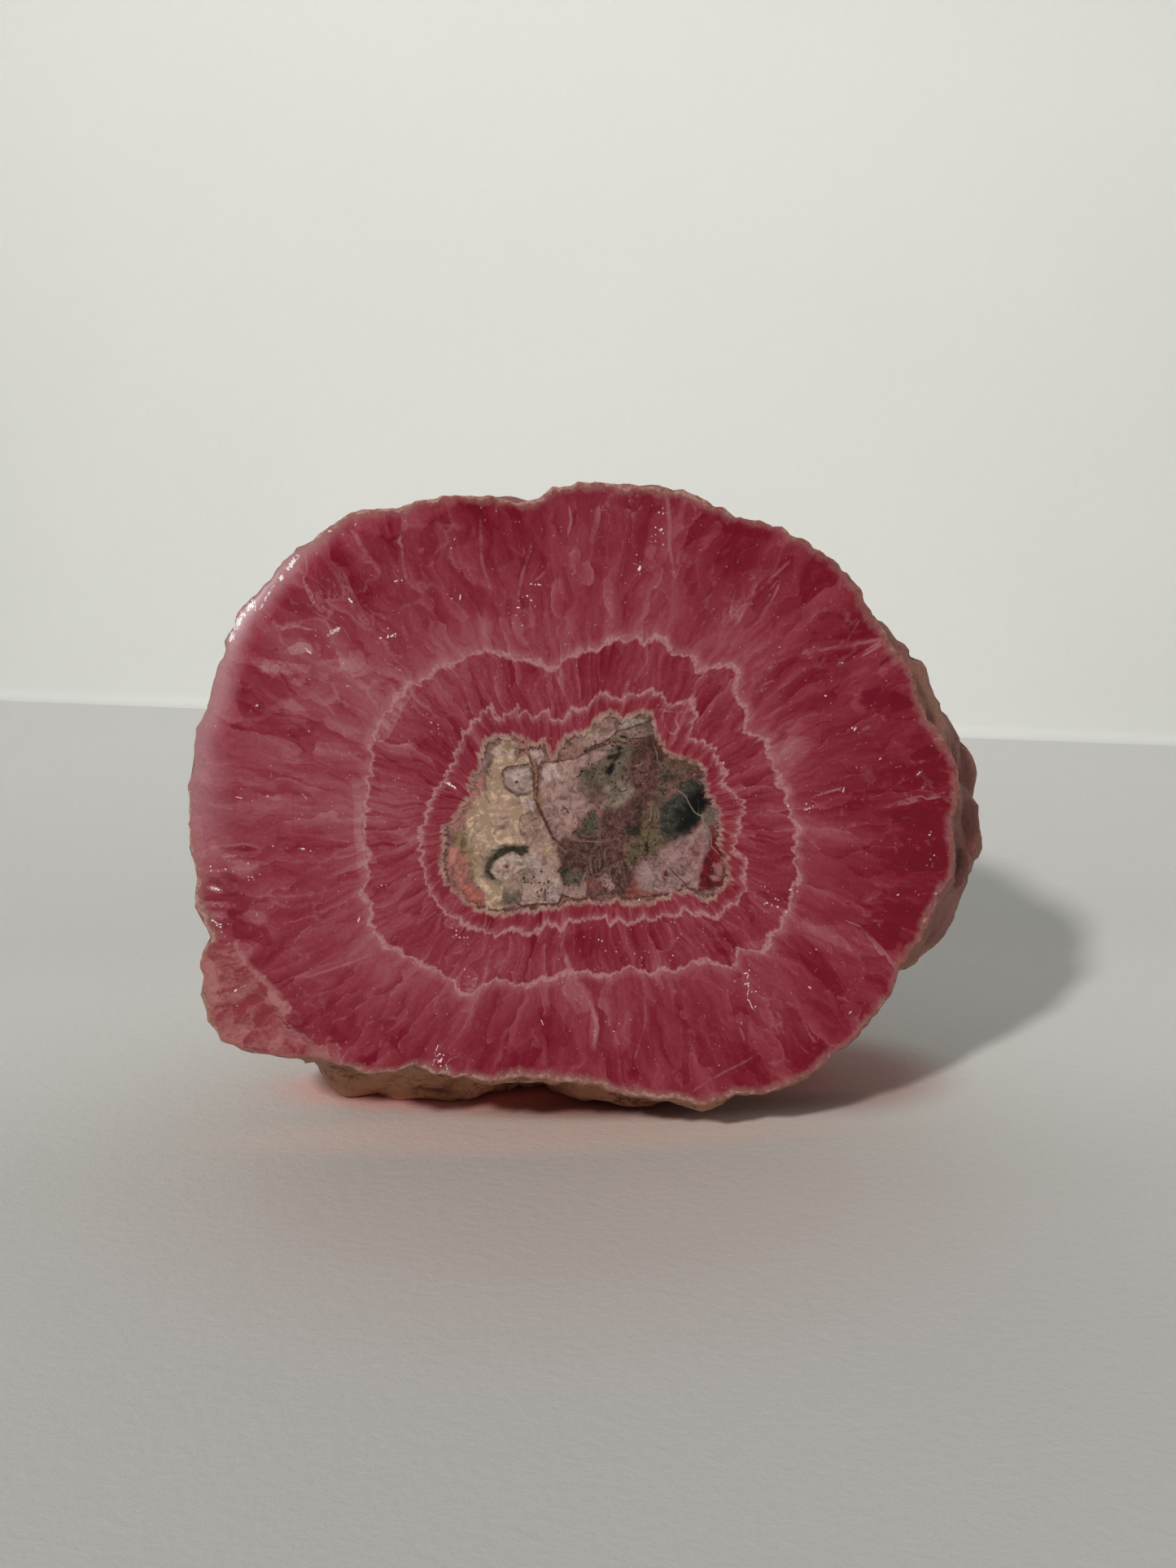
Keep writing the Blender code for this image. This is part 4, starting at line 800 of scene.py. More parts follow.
coreLines = {
    # dark cracks and seams: half width, strength, and the points, as x and z in turn
    "dark": [
        (0.1, 0.9, [-12, 46.3, -11.5, 46.9, -10.4, 47, -9, 47.25]),
        (0.12, 0.9, [-8.95, 48.2, -8.5, 47, -8.35, 45.6, -8.4, 44.2]),
        (0.11, 0.9, [-7.6, 47.4, -7.9, 46.2, -7.95, 44.6, -8.1, 43.6, -8.3, 43.1]),
        (0.19, 1.0, [-8.35, 43.2, -8.1, 42.7, -7.6, 41.5, -7.1, 40.5, -6.6, 39.4, -6.1, 38.5]),
        (0.12, 0.8, [-6.1, 38.5, -5.5, 38, -4.7, 37.3]),
        (0.1, 0.85, [-7.6, 47.4, -6.7, 47.5, -5, 47.7, -3.8, 47.85, -2.8, 48.4, -1.8, 48.8, 0.3, 49.45]),
        (0.12, 0.95, [-2.8, 48.7, -2, 49.15, -1, 49.3, 0.2, 50, 1, 50.9]),
        (0.12, 0.9, [1, 50.9, 2.2, 51.1, 3.4, 51.6, 4.6, 51.95, 5, 52.3]),
        (0.12, 0.95, [0.1, 49.5, 1, 49.65, 1.9, 49.4, 3, 49.95, 4.8, 50.2, 5.7, 50]),
        (0.12, 0.9, [5.7, 50, 6.2, 49.2, 6.6, 48.7, 7.05, 48.2]),
        (0.1, 0.7, [4, 51.2, 4.8, 51.5, 5.4, 51.1, 5.9, 51.6]),
        (0.09, 0.8, [-4, 50.4, -2.8, 51.1, -1.7, 51.7]),
        (0.09, 0.8, [-0.4, 53.15, 0.6, 52.85, 1.4, 52.4, 2.2, 52.6, 3.2, 52.65, 4, 52.9, 4.7, 52.6,
            5, 52.2]),
        (0.08, 0.9, [7, 34.9, 8, 33.8, 9.3, 32.4]),
        (0.06, 0.6, [8.2, 35.2, 9.5, 34.1]),
        (0.11, 0.9, [-15.4, 30.6, -14.5, 30.25, -13.8, 30.1, -12.5, 30, -11, 30.15]),
        (0.13, 1.0, [-10.2, 30.7, -9.8, 30.5, -8.9, 30.6, -8.2, 30.8, -7, 30.75, -5.8, 30.7, -5.5, 31,
            -5.3, 31.8, -4.6, 31.6, -3.6, 31.15, -2.6, 31.3, -1.8, 31.3]),
        (0.1, 0.85, [-1.8, 31.3, -1, 31.8, 0.1, 31.8, 0.6, 32.3, 1.1, 31.8, 1.6, 31.3, 2.4, 31.2,
            4, 31.3, 5.4, 31.35, 6.8, 31.7, 8, 32.05, 9.2, 32.4, 10.4, 32, 11.5, 32.3, 12.8, 32.6,
            13.4, 33.2]),
        (0.1, 0.8, [13.4, 33.2, 13.1, 33.8, 13.5, 35, 13.4, 36, 12.9, 37.2, 12.3, 38.4, 12.5, 39.6,
            12.5, 41, 12.2, 42.1, 11.7, 42.7]),
        (0.12, 0.85, [11.7, 42.7, 11.4, 43.6, 11, 45, 10.8, 46, 10.2, 46.9, 9.7, 47.2]),
        (0.08, 0.6, [-9.9, 39.2, -10.1, 40.3, -9.9, 41.2, -9, 41.5]),
        (0.08, 0.6, [-9.9, 33.4, -9.8, 32.2, -9.95, 31]),
        (0.12, 0.85, [-7.15, 32.4, -7.1, 31.2]),
        (0.14, 0.95, [-4, 39.1, -3.6, 39.4, -3.2, 39.8]),
        (0.16, 1.0, [-3.1, 38.55, -2.4, 38.4, -1.4, 38.5]),
        (0.08, 0.5, [-0.7, 32.6, -0.2, 32.2, 0, 32.9]),
    ],
    # dark specks: x, z, half length, half width, turn, strength
    "specks": [
        (-10.35, 45.2, 0.2, 0.16, 0, 0.9), (-5, 42, 0.22, 0.12, 60, 0.8), (-5.3, 41.8, 0.18, 0.1, 20, 0.7),
        (-4.6, 41.6, 0.22, 0.12, -50, 0.8), (-5.1, 42.3, 0.15, 0.1, 0, 0.6),
        (-14.8, 45.2, 0.15, 0.1, 0, 0.6), (-3, 46.3, 0.2, 0.17, 60, 1), (-3.45, 45.7, 0.16, 0.1, 20, 0.9),
        (-1.8, 45.6, 0.22, 0.11, 80, 0.95), (-1.8, 46.6, 0.14, 0.1, 0, 0.8),
        (-1.4, 46.3, 0.14, 0.08, 60, 0.6), (-2.6, 44.8, 0.14, 0.1, 0, 0.6), (-3.2, 44, 0.14, 0.08, 0, 0.5),
        (1.7, 50.2, 0.48, 0.16, -8, 1), (2.7, 50, 0.16, 0.1, 0, 0.8), (-2.6, 48.6, 0.2, 0.14, 0, 1),
        (-1.9, 48.9, 0.16, 0.1, 0, 0.9), (4.35, 37.4, 0.5, 0.2, 75, 1), (4.4, 36.9, 0.25, 0.18, 0, 1),
        (4.4, 36.4, 0.3, 0.08, 40, 0.9), (3.45, 41.95, 0.25, 0.14, -50, 0.95),
        (3.7, 41.7, 0.16, 0.12, 0, 0.9), (3.8, 41, 0.14, 0.1, 80, 0.8), (1.8, 38.9, 0.18, 0.1, 20, 0.9),
        (2.7, 39.2, 0.3, 0.2, 30, 0.9), (3.4, 39.2, 0.2, 0.3, 0, 0.9), (3, 39.9, 0.2, 0.12, 0, 0.7),
        (3.2, 38.4, 0.2, 0.1, 0, 0.6), (2.3, 38, 0.2, 0.1, 60, 0.7), (6.8, 46.1, 0.16, 0.13, 0, 1),
        (6.3, 45.6, 0.14, 0.1, 0, 0.8), (6.5, 45.2, 0.16, 0.1, 40, 0.8), (7.1, 45.5, 0.2, 0.1, -30, 0.8),
        (6.1, 44.6, 0.2, 0.14, 30, 0.8), (8.1, 45.2, 0.2, 0.07, 10, 0.7), (10.4, 40.6, 0.36, 0.14, 70, 1),
        (-0.7, 35.1, 0.38, 0.12, 65, 0.95), (0.3, 44, 0.16, 0.1, 0, 0.7), (1.2, 44.1, 0.2, 0.09, -20, 0.7),
        (1.9, 43.95, 0.34, 0.08, 25, 0.8), (1.3, 43.8, 0.14, 0.08, 20, 0.6), (0.6, 42.7, 0.2, 0.1, 30, 0.7),
        (1.1, 42.9, 0.14, 0.08, 60, 0.6), (-0.9, 42.6, 0.2, 0.1, 0, 0.6), (-0.3, 42.1, 0.14, 0.1, 0, 0.7),
        (2.6, 43.5, 0.16, 0.08, 60, 0.5), (2.1, 45.2, 0.1, 0.08, 0, 0.8), (0.4, 45.1, 0.12, 0.06, 0, 0.5),
        (-9.6, 33.9, 0.2, 0.12, 60, 1), (-9.5, 33.4, 0.18, 0.1, 0, 1), (-7.7, 34.7, 0.14, 0.1, 0, 0.7),
        (-7.9, 33.3, 0.2, 0.09, 0, 0.9), (-7.3, 33.2, 0.12, 0.16, 0, 0.9), (-7.6, 32.6, 0.14, 0.1, 60, 0.8),
        (-6.85, 32.7, 0.08, 0.12, 0, 0.9), (-7.9, 31.7, 0.14, 0.1, 0, 0.9), (-8.1, 32.1, 0.1, 0.14, 0, 0.6),
        (-8.5, 34, 0.1, 0.2, 0, 0.5), (-9, 31.2, 0.16, 0.08, 0, 0.7), (-6.9, 34, 0.06, 0.2, 0, 0.7),
        (-5.3, 35, 0.2, 0.12, 0, 0.9), (-5.7, 34.6, 0.14, 0.16, 0, 0.8), (-4.8, 34.7, 0.3, 0.14, 0, 0.9),
        (-4.2, 34.9, 0.16, 0.1, 50, 0.8), (-4.9, 33.1, 0.24, 0.12, 20, 0.9),
        (-3.4, 33.2, 0.14, 0.14, 0, 0.8), (-5, 34, 0.14, 0.2, 0, 0.7), (-3.9, 35.2, 0.14, 0.08, 0, 0.7),
        (-2.7, 34.4, 0.1, 0.2, 0, 0.6), (-3.6, 31.8, 0.16, 0.08, 0, 0.8), (2.4, 33.1, 0.1, 0.08, 0, 0.9),
        (3.3, 48.6, 0.2, 0.12, 30, 0.8), (3.8, 48.5, 0.14, 0.1, 0, 0.8), (5.6, 47.1, 0.14, 0.1, -40, 0.9),
        (1.5, 48.9, 0.24, 0.1, -30, 0.8), (3.2, 49.4, 0.16, 0.1, 0, 0.7), (2.2, 48, 0.1, 0.1, 0, 0.5),
        (-1.4, 39.6, 0.16, 0.1, 0, 0.9), (-2, 40.8, 0.14, 0.14, 0, 0.7), (-2.4, 40.2, 0.14, 0.1, 40, 0.6),
        (-1.6, 41.3, 0.14, 0.1, 0, 0.6), (-2.9, 39.2, 0.16, 0.1, 0, 0.6), (-13.2, 33.9, 0.14, 0.1, 0, 0.9),
        (6.6, 33.9, 0.12, 0.1, 0, 1), (9.2, 46.3, 0.3, 0.05, 30, 0.6), (10, 46.8, 0.12, 0.06, 0, 0.7),
        (-2.2, 50.1, 0.12, 0.07, 0, 0.6),
    ],
    # where wavy pale streaks run up through the mauve: soft ovals
    "streaks": [
        (-1, 34.6, 5, 3.4, 0, 1), (3.4, 45, 2, 4, -20, 0.6), (0.6, 40, 2, 3, 20, 0.5),
    ],
    # where fine dark grains are strewn: soft ovals
    "grains": [
        (0.3, 46.6, 2.4, 2.2, 0, 0.75), (-1.8, 40, 1.6, 1.6, 0, 0.8), (4.2, 38.8, 1.6, 2.6, 0, 0.7),
        (-4.2, 34, 1.2, 1.4, 0, 0.95), (-7.9, 33, 1.3, 1.6, 0, 0.6), (2.4, 50.4, 3, 0.7, 12, 0.85),
        (6.6, 45.4, 1.2, 1.4, 0, 0.8), (-0.2, 33.4, 1.2, 1.4, 0, 0.5), (-3, 36.6, 1.8, 1.4, 0, 0.45),
        (0.5, 39.5, 1.6, 2.4, 0, 0.4), (-5.5, 48.6, 0.9, 1.4, 0, 0.6), (-8, 49.7, 1, 0.7, 0, 0.6),
        (2.4, 35.5, 1, 2, 0, 0.45), (3.2, 48.4, 1, 1, 0, 0.5), (-10, 49.2, 0.8, 1.2, 0, 0.5),
    ],
    # fine pale threads: half width, strength, points
    "threads": [
        (0.06, 0.8, [8, 43.8, 8.8, 43.2, 9.2, 42.3, 9.8, 41.3, 10.3, 40.9, 10.8, 40.8]),
        (0.06, 0.6, [5.2, 49, 5.5, 48.2, 5.6, 47.2, 5.9, 46.8]),
        (0.06, 0.7, [4.8, 42, 4.9, 41.2, 4.8, 40.6]),
        (0.06, 0.6, [5.6, 41.6, 5.8, 40.7, 5.5, 40.3]),
        (0.07, 0.7, [3, 46.8, 3.6, 46.9, 3.9, 47.2]),
        (0.05, 0.5, [5.2, 37.6, 6, 38.6, 6.3, 38.2]),
        (0.1, 0.8, [10.7, 40.9, 10.8, 40.3, 11, 39.8, 11.5, 39.2]),
        (0.07, 0.6, [11.5, 39.2, 11.8, 38.2, 11.8, 37.2, 12.6, 36.3]),
        (0.08, 0.8, [6.6, 33.6, 7.4, 33.4, 8.9, 32.5, 9.5, 32.4]),
        (0.08, 0.7, [-2.6, 34.3, -3, 33.2, -3, 32.4]),
        (0.08, 0.6, [-1, 33.6, -0.3, 34.3, 0.1, 33.6, 0.2, 32.9]),
        (0.06, 0.6, [-3.2, 38.1, -0.8, 38]),
        (0.08, 0.5, [-5.6, 37.6, -4.9, 36.9]),
    ],
}


def linear(seen, light=1.0, sheen=0.0):
    # a colour as seen on a screen, 0 to 255, turned into the surface's own: less the sheen that the room
    # adds, and over the share of full light that falls there
    seen = np.asarray(seen, float) / 255
    value = np.where(seen <= 0.04045, seen / 12.92, ((seen + 0.055) / 1.055) ** 2.4)
    return np.clip((value - sheen) / light, 0.001, 1)


# what light falls on the cut, and what its polish adds
cutLight = {"light": np.array([0.775, 0.76, 0.738]), "sheen": 0.005}


# what lies under the core's patches, and how far noise of these two sizes waves their edges
coreGround = {"colour": (110, 78, 73), "waves": (0.8, 0.4), "reach": 0.45}


def paintCore(x, z):
    # each patch is laid over the ones before it, its edge softened over its own width and waved by noise
    flat = columns(x, z, np.zeros_like(x))
    coarse, fine = coreGround["waves"]
    waved = (latticeNoise(flat, coarse, 51) + latticeNoise(flat, fine, 52) - 1) * coreGround["reach"]
    colour = np.tile(linear(coreGround["colour"], **cutLight), (len(x), 1))
    for seen, softness, outline in corePatches.values():
        gap = outlineDistance(x, z, outline) + waved * min(1.0, 0.3 + softness)
        cover = smoothStep(0.5 - gap / softness)[:, None]
        colour = colour * (1 - cover) + linear(seen, **cutLight) * cover
    return colour


def bladeTones(angle, out):
    # long flat crystals in the fan: each darkens or lightens from its crisp edge across to its soft one
    count, seed = fibreFan["blades"]
    random = np.random.default_rng(seed)
    tone = np.zeros(len(angle))
    for _ in range(count):
        middle = random.uniform(-math.pi, math.pi)
        start = random.uniform(*fibreFan["starts"])
        length = random.uniform(*fibreFan["lengths"])
        half = random.uniform(*fibreFan["halves"])
        skew = random.normal(0, 0.006)
        height = random.choice([-1, 1]) * random.uniform(*fibreFan["tones"])
        flip = random.choice([-1, 1])
        share = (out - start) / length
        across = turnBetween(angle, middle + skew * (out - start)) / half * flip
        inside = (share > 0) & (share < 1) & (np.abs(across) < 1)
        part = share[inside]
        taper = np.minimum(part / 0.5, 1) * np.minimum((1 - part) / 0.15, 1)
        slope = (1 + across[inside]) / 2
        tone[inside] += height * taper * slope
    return tone


# The cut's larger painted glints, and along the rolled edge at the upper left painted highlight streaks:
# x, z, half length, half width, turn, strength
paintedGlints = [
    (-30.3, 62.8, 1.0, 0.4, 30, 0.7), (-28.5, 66.2, 0.5, 0.12, -60, 1), (-28.2, 65.8, 0.2, 0.13, 0, 1),
    (-23.4, 68.2, 0.25, 0.16, 20, 1), (-24, 62.1, 0.3, 0.15, 30, 1), (-25.2, 61.9, 0.2, 0.13, 0, 1),
    (-16.9, 72.8, 0.25, 0.12, 60, 0.9), (-16.4, 66.4, 0.5, 0.12, 85, 0.9), (-8.6, 67.7, 0.2, 0.14, 0, 1),
    (-7.7, 67.6, 0.25, 0.12, 0, 0.9), (-33, 60.3, 0.3, 0.2, -30, 1), (-33.3, 60.7, 0.6, 0.1, -35, 0.8),
    (-19.8, 52.2, 0.5, 0.1, -35, 0.9), (-17.9, 45.1, 0.75, 0.22, -35, 1.6),
    (-17.3, 44.7, 0.5, 0.14, -40, 1.4), (3.4, 69.3, 0.4, 0.2, 60, 1), (3.1, 70.8, 0.2, 0.12, 0, 0.8),
    (5.8, 73.5, 0.35, 0.25, 0, 0.9), (24.55, 54.5, 0.18, 0.17, 0, 1.6), (22.6, 41.3, 0.35, 0.16, 10, 1),
    (23.4, 41.2, 0.25, 0.1, 20, 1), (28, 50.6, 0.3, 0.16, 50, 1), (31, 47.1, 0.3, 0.14, 50, 0.9),
    (26.9, 43.6, 0.45, 0.1, 80, 0.8), (35.6, 45.4, 0.5, 0.16, 50, 0.7), (24, 43, 0.4, 0.1, 10, 0.7),
    (19.1, 60.2, 0.2, 0.14, 0, 0.9), (19.6, 29.8, 0.16, 0.14, 0, 1.2), (18.3, 30.3, 0.2, 0.12, 0, 1),
    (21, 31.8, 0.3, 0.12, 20, 1), (16, 21.8, 0.4, 0.14, 10, 1), (16.3, 20.4, 0.5, 0.08, -65, 0.9),
    (16.4, 18.5, 0.4, 0.08, -50, 0.9), (16.9, 17.5, 0.4, 0.08, -60, 0.9), (23.5, 19.9, 0.4, 0.14, -50, 0.8),
    (24.2, 24.5, 0.2, 0.1, -20, 0.8), (15.6, 15.8, 0.6, 0.07, -75, 0.7), (0.7, 15.1, 0.2, 0.12, 0, 1),
    (-19.3, 12.2, 0.7, 0.12, 75, 1.2), (-19.8, 13.6, 0.9, 0.08, 70, 0.8), (-18.7, 11.2, 0.8, 0.08, -75, 0.7),
    (-20.2, 11.9, 0.6, 0.08, 75, 0.7), (-15.3, 22, 0.4, 0.16, 20, 0.9), (-16.5, 23.1, 0.16, 0.14, 0, 1),
    (-17, 27, 0.2, 0.14, 0, 1), (-41.4, 44, 0.5, 0.1, -15, 0.9), (-38.2, 44.1, 0.2, 0.12, 20, 0.9),
    (-34.1, 44, 0.6, 0.07, -45, 0.8), (-37.8, 38.3, 0.16, 0.14, 0, 1), (-34.5, 37.9, 0.4, 0.14, 0, 0.8),
    (-44.3, 33.4, 0.9, 0.22, -15, 1), (-44.9, 29.7, 0.25, 0.14, -20, 1), (-44.1, 29.2, 0.25, 0.16, 0, 1),
    (-43.9, 28.3, 0.2, 0.14, 0, 1), (-28.4, 29.4, 0.5, 0.14, 70, 0.8), (-25.8, 33.4, 0.2, 0.14, 0, 0.9),
    (-42.7, 20.7, 0.35, 0.2, 50, 1.2), (-41.6, 21.4, 0.25, 0.1, 50, 1), (37.9, 30.9, 0.25, 0.16, 0, 1.1),
    (33.6, 30.9, 0.2, 0.14, 20, 1), (37, 38, 0.25, 0.14, 0, 0.9), (7.5, 24.2, 0.16, 0.14, 0, 1.1),
    (13.1, 10.5, 0.2, 0.12, 0, 0.8), (28.4, 16.6, 0.3, 0.12, 50, 0.7), (3.6, 31, 0.24, 0.14, 40, 1),
    (-7.6, 16.4, 0.7, 0.1, -65, 0.7), (26.3, 58.3, 0.3, 0.08, 0, 0.8), (-3.5, 68.1, 0.2, 0.12, 0, 0.9),
    (-10, 65.1, 0.25, 0.1, 0, 0.9), (-9.6, 63.1, 0.2, 0.1, -40, 0.8), (-34.8, 70, 1.3, 0.34, 54, 1.5),
    (-36, 68.5, 0.7, 0.3, 50, 1.2), (-37.4, 66.8, 0.9, 0.16, 55, 0.9), (-39.5, 65.3, 1.2, 0.42, 52, 1.3),
    (-40.9, 63.5, 1.2, 0.5, 56, 1.4), (-41.7, 61.8, 0.9, 0.4, 66, 1.2), (-38.2, 65.4, 0.8, 0.12, 52, 0.7),
    (-30.6, 73.6, 0.5, 0.12, 0, 0.8), (-27.7, 74.4, 0.25, 0.1, 60, 0.9), (-39, 54.5, 0.2, 0.14, 0, 0.7),
    (-33.4, 51.5, 0.18, 0.12, 0, 0.9),
]

# Thin pale lines in the red stone: half width, strength, and the points, as x and z in turn
paleLines = [
    (0.3, 0.45, [-44.5, 15.3, -41.5, 15.5, -39.7, 16, -38.4, 15.3, -36, 14.7, -34.4, 14]),
    (0.4, 0.5, [-42.3, 27, -40.9, 24.3, -39.2, 22.4, -37.5, 20.4]),
    (0.28, 0.75, [-4.9, 28.7, -5.3, 26.2, -5.05, 24.7, -4.2, 22.5, -3.1, 21.1, -2.4, 20.1, -1.7, 17.7,
        -1.2, 15.6, -1.7, 13.2]),
    (0.22, 0.5, [6.2, 77, 6.7, 74.5, 6.6, 72, 7.2, 68.5]),
    (0.2, 0.45, [-2, 72.5, -1.1, 76.2]),
    (0.2, 0.5, [-22.8, 73, -22.6, 70.5, -22.1, 68]),
    (0.25, 0.5, [-27.8, 73.5, -26.3, 70.8, -24.8, 68.4]),
    (0.22, 0.45, [-31.5, 71.5, -29.8, 69, -28.4, 65.6, -27, 63]),
    (0.2, 0.4, [-14.2, 74.8, -14, 71, -13.2, 67.4]),
    (0.2, 0.45, [24, 59.8, 27, 60.2, 30.6, 61]),
    (0.2, 0.5, [20, 69.8, 18, 68, 15.8, 65.6, 14.5, 63.3]),
    (0.16, 0.45, [32, 41.4, 35, 42.4, 38.4, 43]),
    (0.2, 0.45, [30, 26.6, 32.4, 24, 33.6, 22]),
    (0.18, 0.45, [-36, 22, -30, 24.2, -26.5, 25.4]),
    (0.18, 0.4, [-44.5, 38.2, -41, 38.7, -39, 38]),
    (0.2, 0.35, [-34, 56.5, -31, 54, -29.5, 51]),
    (0.2, 0.4, [-8.6, 72, -9.6, 69, -10.2, 66]),
    (0.2, 0.4, [3.2, 12, 4.4, 16, 4.1, 20]),
    (0.18, 0.4, [15.2, 16, 16, 13.2]),
    (0.16, 0.35, [10.4, 7.6, 13.6, 9.6, 17, 11.4]),
    (0.14, 0.8, [6.2, 53.2, 7, 53, 8, 53, 7.7, 52, 8, 51.2, 7.4, 50.4, 6.9, 50.6, 6.5, 51.4, 6.1, 52,
        6.2, 53.2]),
    (0.14, 0.9, [-32.6, 66.8, -31.8, 65.4, -31.4, 64.8]),
    (0.14, 0.9, [-32, 67, -31.4, 65.8, -31.1, 64.9]),
    (0.16, 0.7, [-33.6, 68.6, -32.8, 66.4, -31.6, 64.8]),
    (0.16, 0.7, [-27.6, 73, -26.8, 71.4, -25.7, 69.8]),
    (0.16, 0.7, [-23, 72.6, -22.4, 70.6, -22.3, 68.6]),
    (0.2, 0.6, [-29.4, 69.8, -28.2, 67, -26.8, 64]),
    (0.16, 0.6, [-31.4, 66, -29.8, 66.2, -28.6, 66.5]),
    (0.14, 0.8, [-33, 62.8, -34.4, 63.2, -36, 63]),
    (0.16, 0.7, [-33.6, 72, -33.2, 70.8, -33, 69.6]),
    (0.14, 0.7, [28.2, 58.8, 29.4, 59.6, 30.6, 60.4]),
    (0.14, 0.7, [30.2, 60.2, 31, 60.4]),
    (0.14, 0.7, [16.2, 54.8, 17, 55.7, 18.3, 56.2]),
    (0.14, 0.7, [23.8, 43, 25.2, 43.4, 26.5, 43.7]),
    (0.14, 0.8, [32.2, 41.3, 34, 41.6, 36, 42.1, 38, 42.5]),
    (0.16, 0.6, [-1, 75.6, -1.2, 74, -1.9, 72.4]),
    (0.16, 0.6, [-4.4, 75.8, -4.2, 74.6, -4.6, 73.4]),
    (0.14, 0.6, [13.9, 66.6, 13.7, 65.4, 13.6, 64]),
    (0.16, 0.6, [18, 67.8, 16.8, 66.8, 15.6, 65.4]),
    (0.16, 0.7, [30.4, 26, 31.2, 24.8, 32, 23.6]),
    (0.14, 0.6, [28, 27.6, 29.4, 27.1, 30.6, 25.8]),
    (0.16, 0.6, [18.8, 67, 17.4, 64]),
    (0.2, 0.5, [-45, 43.4, -42.6, 43, -40, 43.4]),
    (0.2, 0.5, [-41.8, 15.4, -40, 16, -37, 15.9, -35, 15.4]),
    (0.16, 0.5, [-44.8, 18.3, -43.2, 18.4]),
    (0.16, 0.5, [-44, 23.6, -42.6, 24.2, -41.4, 24.4]),
    (0.2, 0.6, [-33.6, 31, -32.4, 32.2]),
    (0.16, 0.6, [-11, 72, -10, 71.2, -9.6, 71]),
    (0.16, 0.5, [-6.7, 70, -7.2, 68.9, -8, 68.2]),
]


def skinMesh(cut, cutCounts, body, bodyAround):
    # one closed skin: the cut's rings from the middle out, then the body's rings to the back
    points = np.concatenate([cut, body])
    counts = cutCounts + [bodyAround] * (stoneMesh["bodySteps"] - 1)
    quads, triangles = ringFaces(counts, 1)
    count = cutCounts[0]
    i = np.arange(count)
    triangles.append(columns(np.zeros_like(i), 1 + (i + 1) % count, 1 + i)[:, ::-1])
    last = len(points) - 1
    i = np.arange(bodyAround)
    start = last - bodyAround
    triangles.append(columns(start + i, start + (i + 1) % bodyAround, np.full_like(i, last)))
    faces = np.concatenate(quads)[:, ::-1].tolist() + np.concatenate(triangles)[:, ::-1].tolist()

    points[:, 0] += stoneForm["drawingToFrame"]
    points[:, 1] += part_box("nodule")[0].y / mm
    mesh = bpy.data.meshes.new("nodule_skin")
    mesh.from_pydata((points * mm).tolist(), [], faces)
    mesh.update()
    corners = np.empty(len(mesh.loops), np.int32)
    mesh.loops.foreach_get("vertex_index", corners)
    starts = np.empty(len(mesh.polygons), np.int32)
    mesh.polygons.foreach_get("loop_start", starts)
    farthest = np.maximum.reduceat(corners, starts)
    mesh.polygons.foreach_set("material_index", (farthest >= len(cut)).astype(np.int32))
    mesh.polygons.foreach_set("use_smooth", np.ones(len(mesh.polygons), bool))
    mesh.set_sharp_from_angle(angle=stoneMesh["sharpFrom"])
    print("stone meshed:", len(points), "points,", len(mesh.polygons), "faces")
    return mesh


